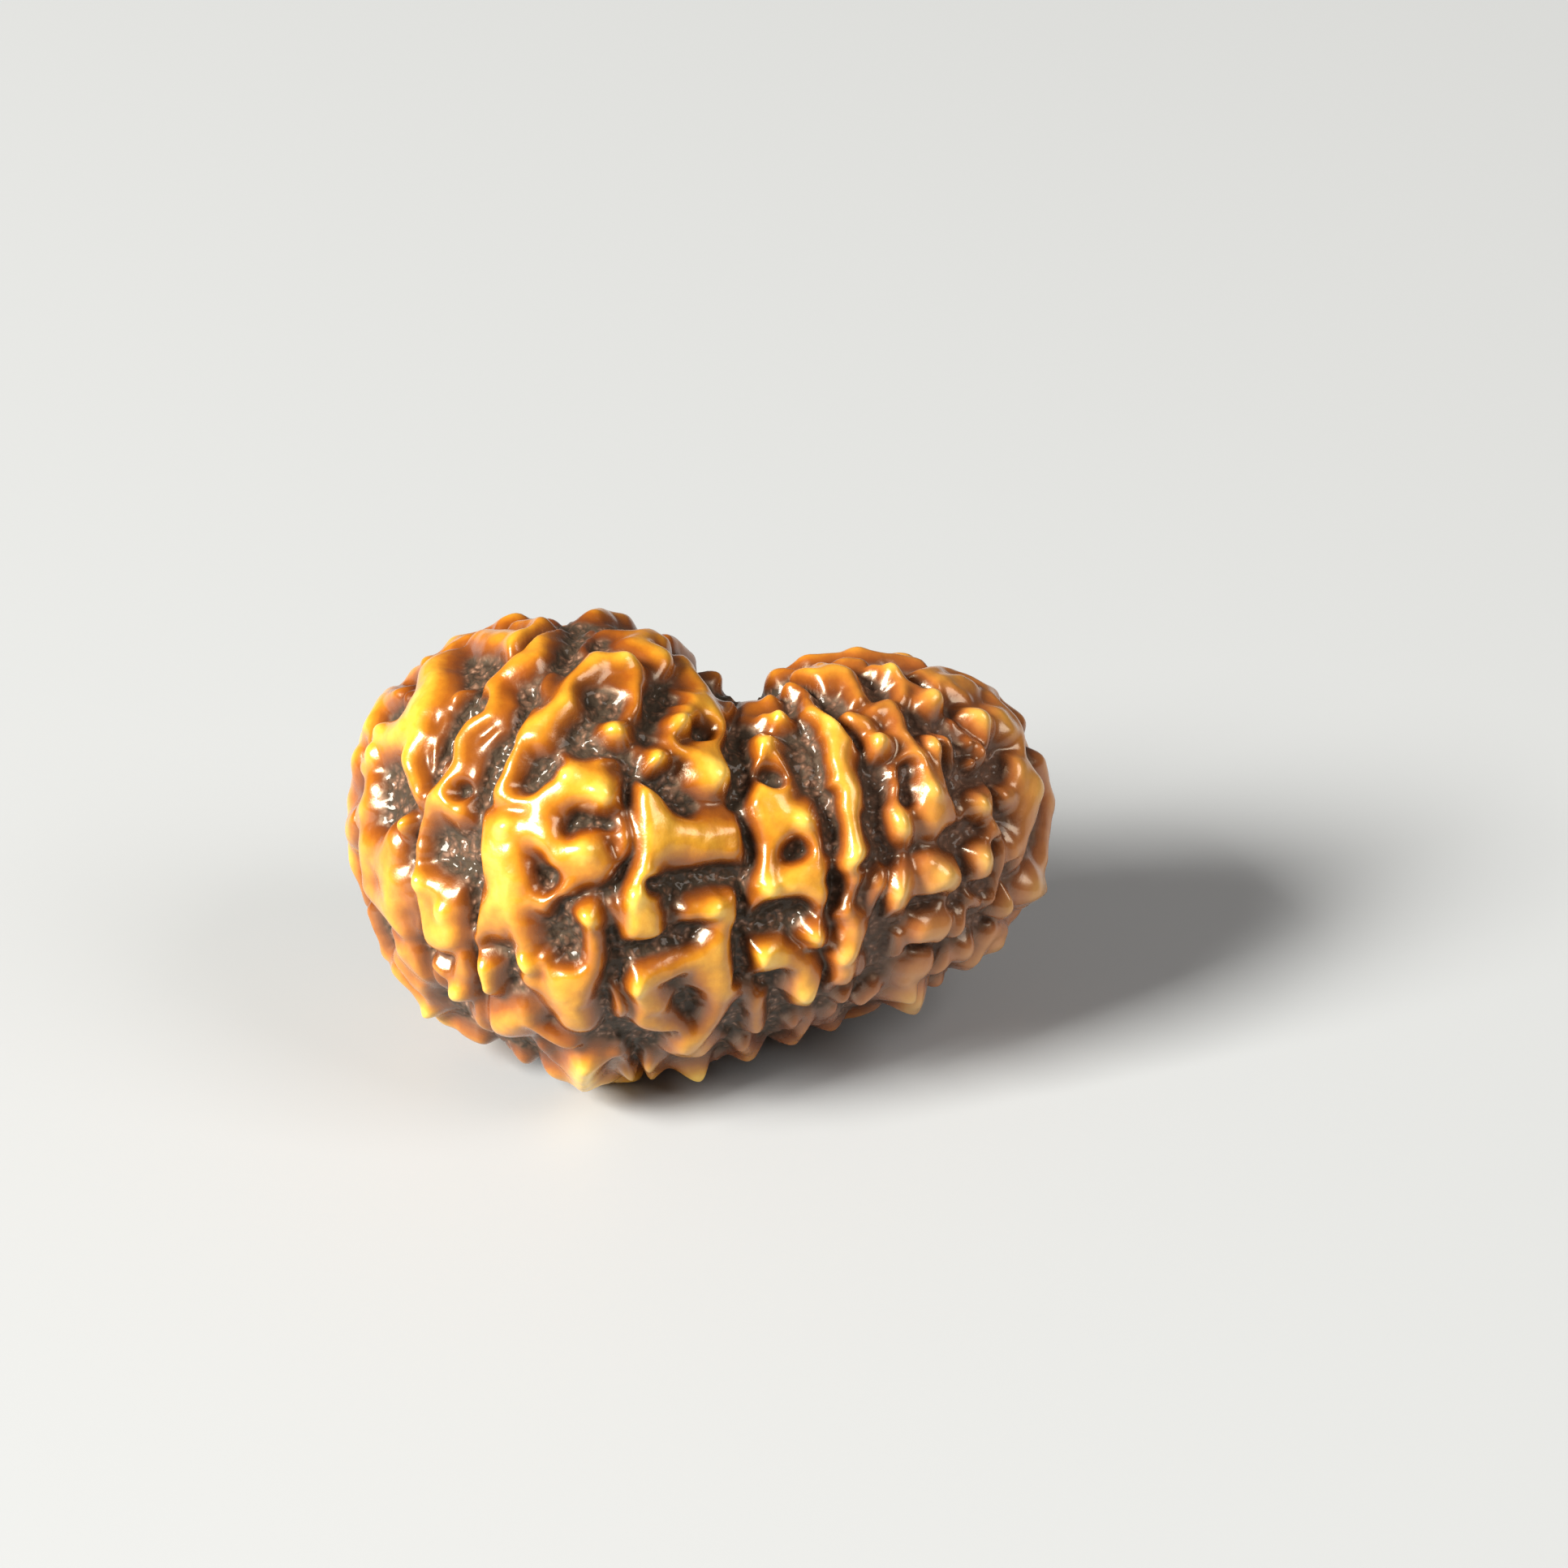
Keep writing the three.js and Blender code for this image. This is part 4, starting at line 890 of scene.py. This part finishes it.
def made_uneven(relief, floor):
    """The relief with grains on its pit floors, and lumps and dimples on its ridges."""
    pit = 1 - smoothstep(relief, *PIT_EDGE)
    height = relief + pit * GRAIN_HEIGHT * grains_at(floor)
    height += (1 - pit) * LUMP_HEIGHT * lumps_at(floor, LUMP_SIZE)
    height += (1 - pit) * DIMPLE_HEIGHT * lumps_at(floor, DIMPLE_SIZE)
    return height


def set_on_ground(height, floor, normals):
    """Fills the pits over the foot, and flattens what would go below the ground."""
    from_foot = np.hypot(floor[:, 0] - FOOT_X, floor[:, 1] - FOOT_Y)
    fill = 1 - smoothstep(from_foot, FOOT_RADIUS, FOOT_RADIUS + FOOT_EDGE)
    height = np.maximum(height, np.where(floor[:, 2] < LARGE_CENTRE, CREST * fill, -np.inf))
    downward = np.maximum(-normals[:, 2], 1e-6)
    room = np.where(normals[:, 2] < -1e-6, floor[:, 2] / downward, np.inf)
    return np.minimum(height, room)


def bead_mesh():
    q, triangles = geodesic_sphere(EDGE_PARTS)
    q = drawn_to_front(q)
    floor, normals = body_points(q), normals_at(q)
    relief = smoothed(relief_at(q), triangles, SMOOTHING_ROUNDS)
    height = set_on_ground(made_uneven(relief, floor), floor, normals)
    points = floor + normals * height[:, None]
    mesh = bpy.data.meshes.new("rudraksha_bead")
    mesh.from_pydata((points * METRES).tolist(), [], triangles.tolist())
    mesh.attributes.new("relief", "FLOAT", "POINT").data.foreach_set("value", relief)
    mesh.shade_smooth()
    return mesh


def node(tree, kind, inputs=None, **settings):
    """A new node with its settings made and its inputs set or linked."""
    made = tree.nodes.new(kind)
    for name, value in settings.items():
        setattr(made, name, value)
    for name, value in (inputs or {}).items():
        if isinstance(value, bpy.types.NodeSocket):
            tree.links.new(value, made.inputs[name])
        else:
            made.inputs[name].default_value = value
    return made


def ramp(tree, factor, stops):
    """Colours that change evenly from stop to stop."""
    made = node(tree, "ShaderNodeValToRGB", {"Fac": factor})
    made.color_ramp.interpolation = "LINEAR"
    elements = made.color_ramp.elements
    while len(elements) < len(stops):
        elements.new(0.5)
    for element, (position, colour) in zip(elements, stops):
        element.position = position
        element.color = (*colour, 1)
    return made.outputs["Color"]


def mapped(tree, value, low, high, to_low=0.0, to_high=1.0):
    """Moves smoothly from to_low to to_high while the value goes from low to high."""
    inputs = {"Value": value, "From Min": low, "From Max": high, "To Min": to_low, "To Max": to_high}
    return node(
        tree, "ShaderNodeMapRange", inputs, interpolation_type="SMOOTHSTEP", clamp=True
    ).outputs["Result"]


def mixed(tree, factor, first, second, mode="MIX"):
    made = node(tree, "ShaderNodeMix", {"Factor": factor}, data_type="RGBA", blend_type=mode)
    for name, value in (("A", first), ("B", second)):
        socket = [s for s in made.inputs if s.name == name and s.type == "RGBA"][0]
        if isinstance(value, bpy.types.NodeSocket):
            tree.links.new(value, socket)
        else:
            socket.default_value = (*value, 1)
    return [s for s in made.outputs if s.type == "RGBA"][0]


def math_node(tree, operation, first, second):
    made = node(tree, "ShaderNodeMath", operation=operation)
    for socket, value in zip(made.inputs, (first, second)):
        if isinstance(value, bpy.types.NodeSocket):
            tree.links.new(value, socket)
        else:
            socket.default_value = value
    return made.outputs["Value"]


def noise_texture(tree, place, size, detail=2.0):
    """A noise from 0 to 1 whose blobs are about size metres."""
    inputs = {"Vector": place, "Scale": 1 / size, "Detail": detail, "Roughness": 0.55}
    return node(tree, "ShaderNodeTexNoise", inputs).outputs["Fac"]


def relief_level(tree, place):
    """Height over the pit floor, made uneven, from 0 in the pits to 1 on the highest crests."""
    relief = node(tree, "ShaderNodeAttribute", attribute_name="relief").outputs["Fac"]
    mottle = noise_texture(tree, place, MOTTLE_SIZE, 3)
    uneven = math_node(tree, "MULTIPLY_ADD", mottle, 0.3)
    uneven.node.inputs[2].default_value = -0.15
    level = math_node(tree, "ADD", relief, uneven)
    return math_node(tree, "MULTIPLY", level, LEVEL_PER_MILLIMETRE)


def small_lobe_shares(tree, place):
    """How far a point counts as on the small lobe, and as on that lobe's low side."""
    x, _, z = node(tree, "ShaderNodeSeparateXYZ", {"Vector": place}).outputs
    small_lobe = mapped(tree, x, 0.002, 0.012)
    # The low side is where the painted pinkish light goes.
    low_side = mapped(tree, z, 0.016, 0.005, 0.4, 1)
    return small_lobe, math_node(tree, "MULTIPLY", small_lobe, low_side)


def wood_and_painted_light_colour(tree, place, level, low_side):
    """Golden crests, slopes partly darkened as painted shade, darker clouds, painted pink light on the
    low side.
    """
    clouds = mapped(tree, noise_texture(tree, place, CLOUD_SIZE, 3), 0.42, 0.68, 0, 0.55)
    # The level ramp's dark low end is partly painted shade on the slopes and pit edges.
    wood_and_painted_light = mixed(tree, clouds, ramp(tree, level, WOOD_WITH_PAINTED_SHADE), AMBER, "MULTIPLY")
    # A pinkish light painted on the small lobe's low side.
    pink_light = math_node(tree, "MULTIPLY", low_side, PAINTED_PINK_LIGHT_SHARE)
    pink_light = math_node(tree, "MULTIPLY", pink_light, mapped(tree, level, 0.2, 0.9))
    return mixed(tree, pink_light, wood_and_painted_light, PAINTED_PINK_LIGHT)


def grain_cells(tree, place):
    """Distances from the middles of small grains, 0 in a middle."""
    warp = node(tree, "ShaderNodeTexNoise", {"Vector": place, "Scale": 1 / CELL_WARP}).outputs["Color"]
    warp = node(tree, "ShaderNodeVectorMath", {0: warp, 3: CELL_WARP}, operation="SCALE").outputs[0]
    warped = node(tree, "ShaderNodeVectorMath", {0: place, 1: warp}).outputs[0]
    inputs = {"Vector": warped, "Scale": 1 / CELL_SIZE}
    return node(tree, "ShaderNodeTexVoronoi", inputs).outputs["Distance"]


def grain_and_painted_light_colour(tree, place, cells, small_lobe):
    patches = noise_texture(tree, place, CELL_PATCH_SIZE, 2)
    patches = mapped(tree, patches, 0.35, 0.65, -0.12, 0.22)
    # The grains darken outwards into painted shade between them, and the pits are painted darker for
    # their shade.
    grains = ramp(tree, math_node(tree, "ADD", cells, patches), GRAINS_WITH_PAINTED_SHADE)
    # A pinkish light painted on the small lobe's pits.
    pink_pit_light_share = math_node(tree, "MULTIPLY", small_lobe, PAINTED_PINK_PIT_LIGHT_SHARE)
    return mixed(tree, pink_pit_light_share, grains, PAINTED_PINK_PIT_LIGHT)


def wood_bump(tree, place, cells, pit):
    """A fine roughness all over, and grains in the pits."""
    grain_height = math_node(tree, "MULTIPLY", cells, pit)
    fine = math_node(tree, "MULTIPLY", noise_texture(tree, place, FINE_SIZE, 3), 0.45)
    height = math_node(tree, "SUBTRACT", fine, grain_height)
    inputs = {"Height": height, "Strength": 0.5, "Distance": BUMP_DEPTH}
    return node(tree, "ShaderNodeBump", inputs).outputs["Normal"]


def bead_material():
    material = bpy.data.materials.new("rudraksha_wood")
    material.use_nodes = True
    tree = material.node_tree
    tree.nodes.clear()
    place = node(tree, "ShaderNodeTexCoord").outputs["Object"]
    level = relief_level(tree, place)
    pit = mapped(tree, level, 0.30, 0.10)
    small_lobe, low_side = small_lobe_shares(tree, place)
    cells = grain_cells(tree, place)
    wood_and_painted_light = wood_and_painted_light_colour(tree, place, level, low_side)
    grains = grain_and_painted_light_colour(tree, place, cells, small_lobe)
    inputs = {
        "Base Color": mixed(tree, pit, wood_and_painted_light, grains),
        "Roughness": mapped(tree, level, 0.1, 0.4, 0.8, 0.27),
        "Normal": wood_bump(tree, place, cells, pit),
        "Specular IOR Level": 0.9,
        "Specular Tint": OILY_TINT,
        "Coat Weight": 0.35,
        "Coat Roughness": 0.1,
    }
    shader = node(tree, "ShaderNodeBsdfPrincipled", inputs)
    node(tree, "ShaderNodeOutputMaterial", {"Surface": shader.outputs["BSDF"]})
    return material


def plain_material(name, colour, roughness):
    material = bpy.data.materials.new(name)
    material.use_nodes = True
    shader = material.node_tree.nodes["Principled BSDF"]
    shader.inputs["Base Color"].default_value = (*colour, 1)
    shader.inputs["Roughness"].default_value = roughness
    return material


def add_object(name, data):
    made = bpy.data.objects.new(name, data)
    bpy.context.scene.collection.objects.link(made)
    return made


def add_camera():
    data = bpy.data.cameras.new("camera")
    data.lens = FOCAL_PIXELS / FRAME_PIXELS * SENSOR_WIDTH
    data.sensor_width = SENSOR_WIDTH
    data.clip_start = 0.01
    camera = add_object("camera", data)
    camera.location = EYE * METRES
    camera.rotation_euler = (math.pi / 2 - TILT, 0, 0)
    bpy.context.scene.camera = camera


def add_lamp(name, place, size, watts, colour):
    """A square soft lamp that faces the bead. Places and sizes are in metres."""
    data = bpy.data.lights.new(name, "AREA")
    data.size = size
    data.energy = watts
    data.color = colour
    lamp = add_object(name, data)
    lamp.location = place
    towards = Vector((0, 0, 0.01)) - Vector(place)
    lamp.rotation_euler = towards.to_track_quat("-Z", "Y").to_euler()


def add_floor():
    mesh = bpy.data.meshes.new("floor")
    reach = 2.0
    corners = [(-reach, -reach, 0), (reach, -reach, 0), (reach, reach, 0), (-reach, reach, 0)]
    mesh.from_pydata(corners, [], [(0, 1, 2, 3)])
    mesh.materials.append(plain_material("floor_plain", (0.41, 0.435, 0.465), 0.6))
    add_object("floor", mesh)


def add_light():
    scene = bpy.context.scene
    scene.view_settings.view_transform = "Standard"
    world = bpy.data.worlds.new("studio")
    scene.world = world
    world.use_nodes = True
    background = world.node_tree.nodes["Background"]
    background.inputs["Color"].default_value = (1, 0.94, 0.85, 1)
    background.inputs["Strength"].default_value = 0.13
    add_lamp("key", (-0.76, -0.42, 0.62), 0.4, 33, (1, 0.95, 0.86))
    add_lamp("fill", (0.75, -0.35, 0.8), 0.6, 6.5, (1, 0.93, 0.86))


def add_bead():
    mesh = bead_mesh()
    mesh.materials.append(bead_material())
    bead = add_object("rudraksha_bead", mesh)
    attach(bead, "root")
    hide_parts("bead")


add_camera()
add_light()
add_floor()
add_bead()
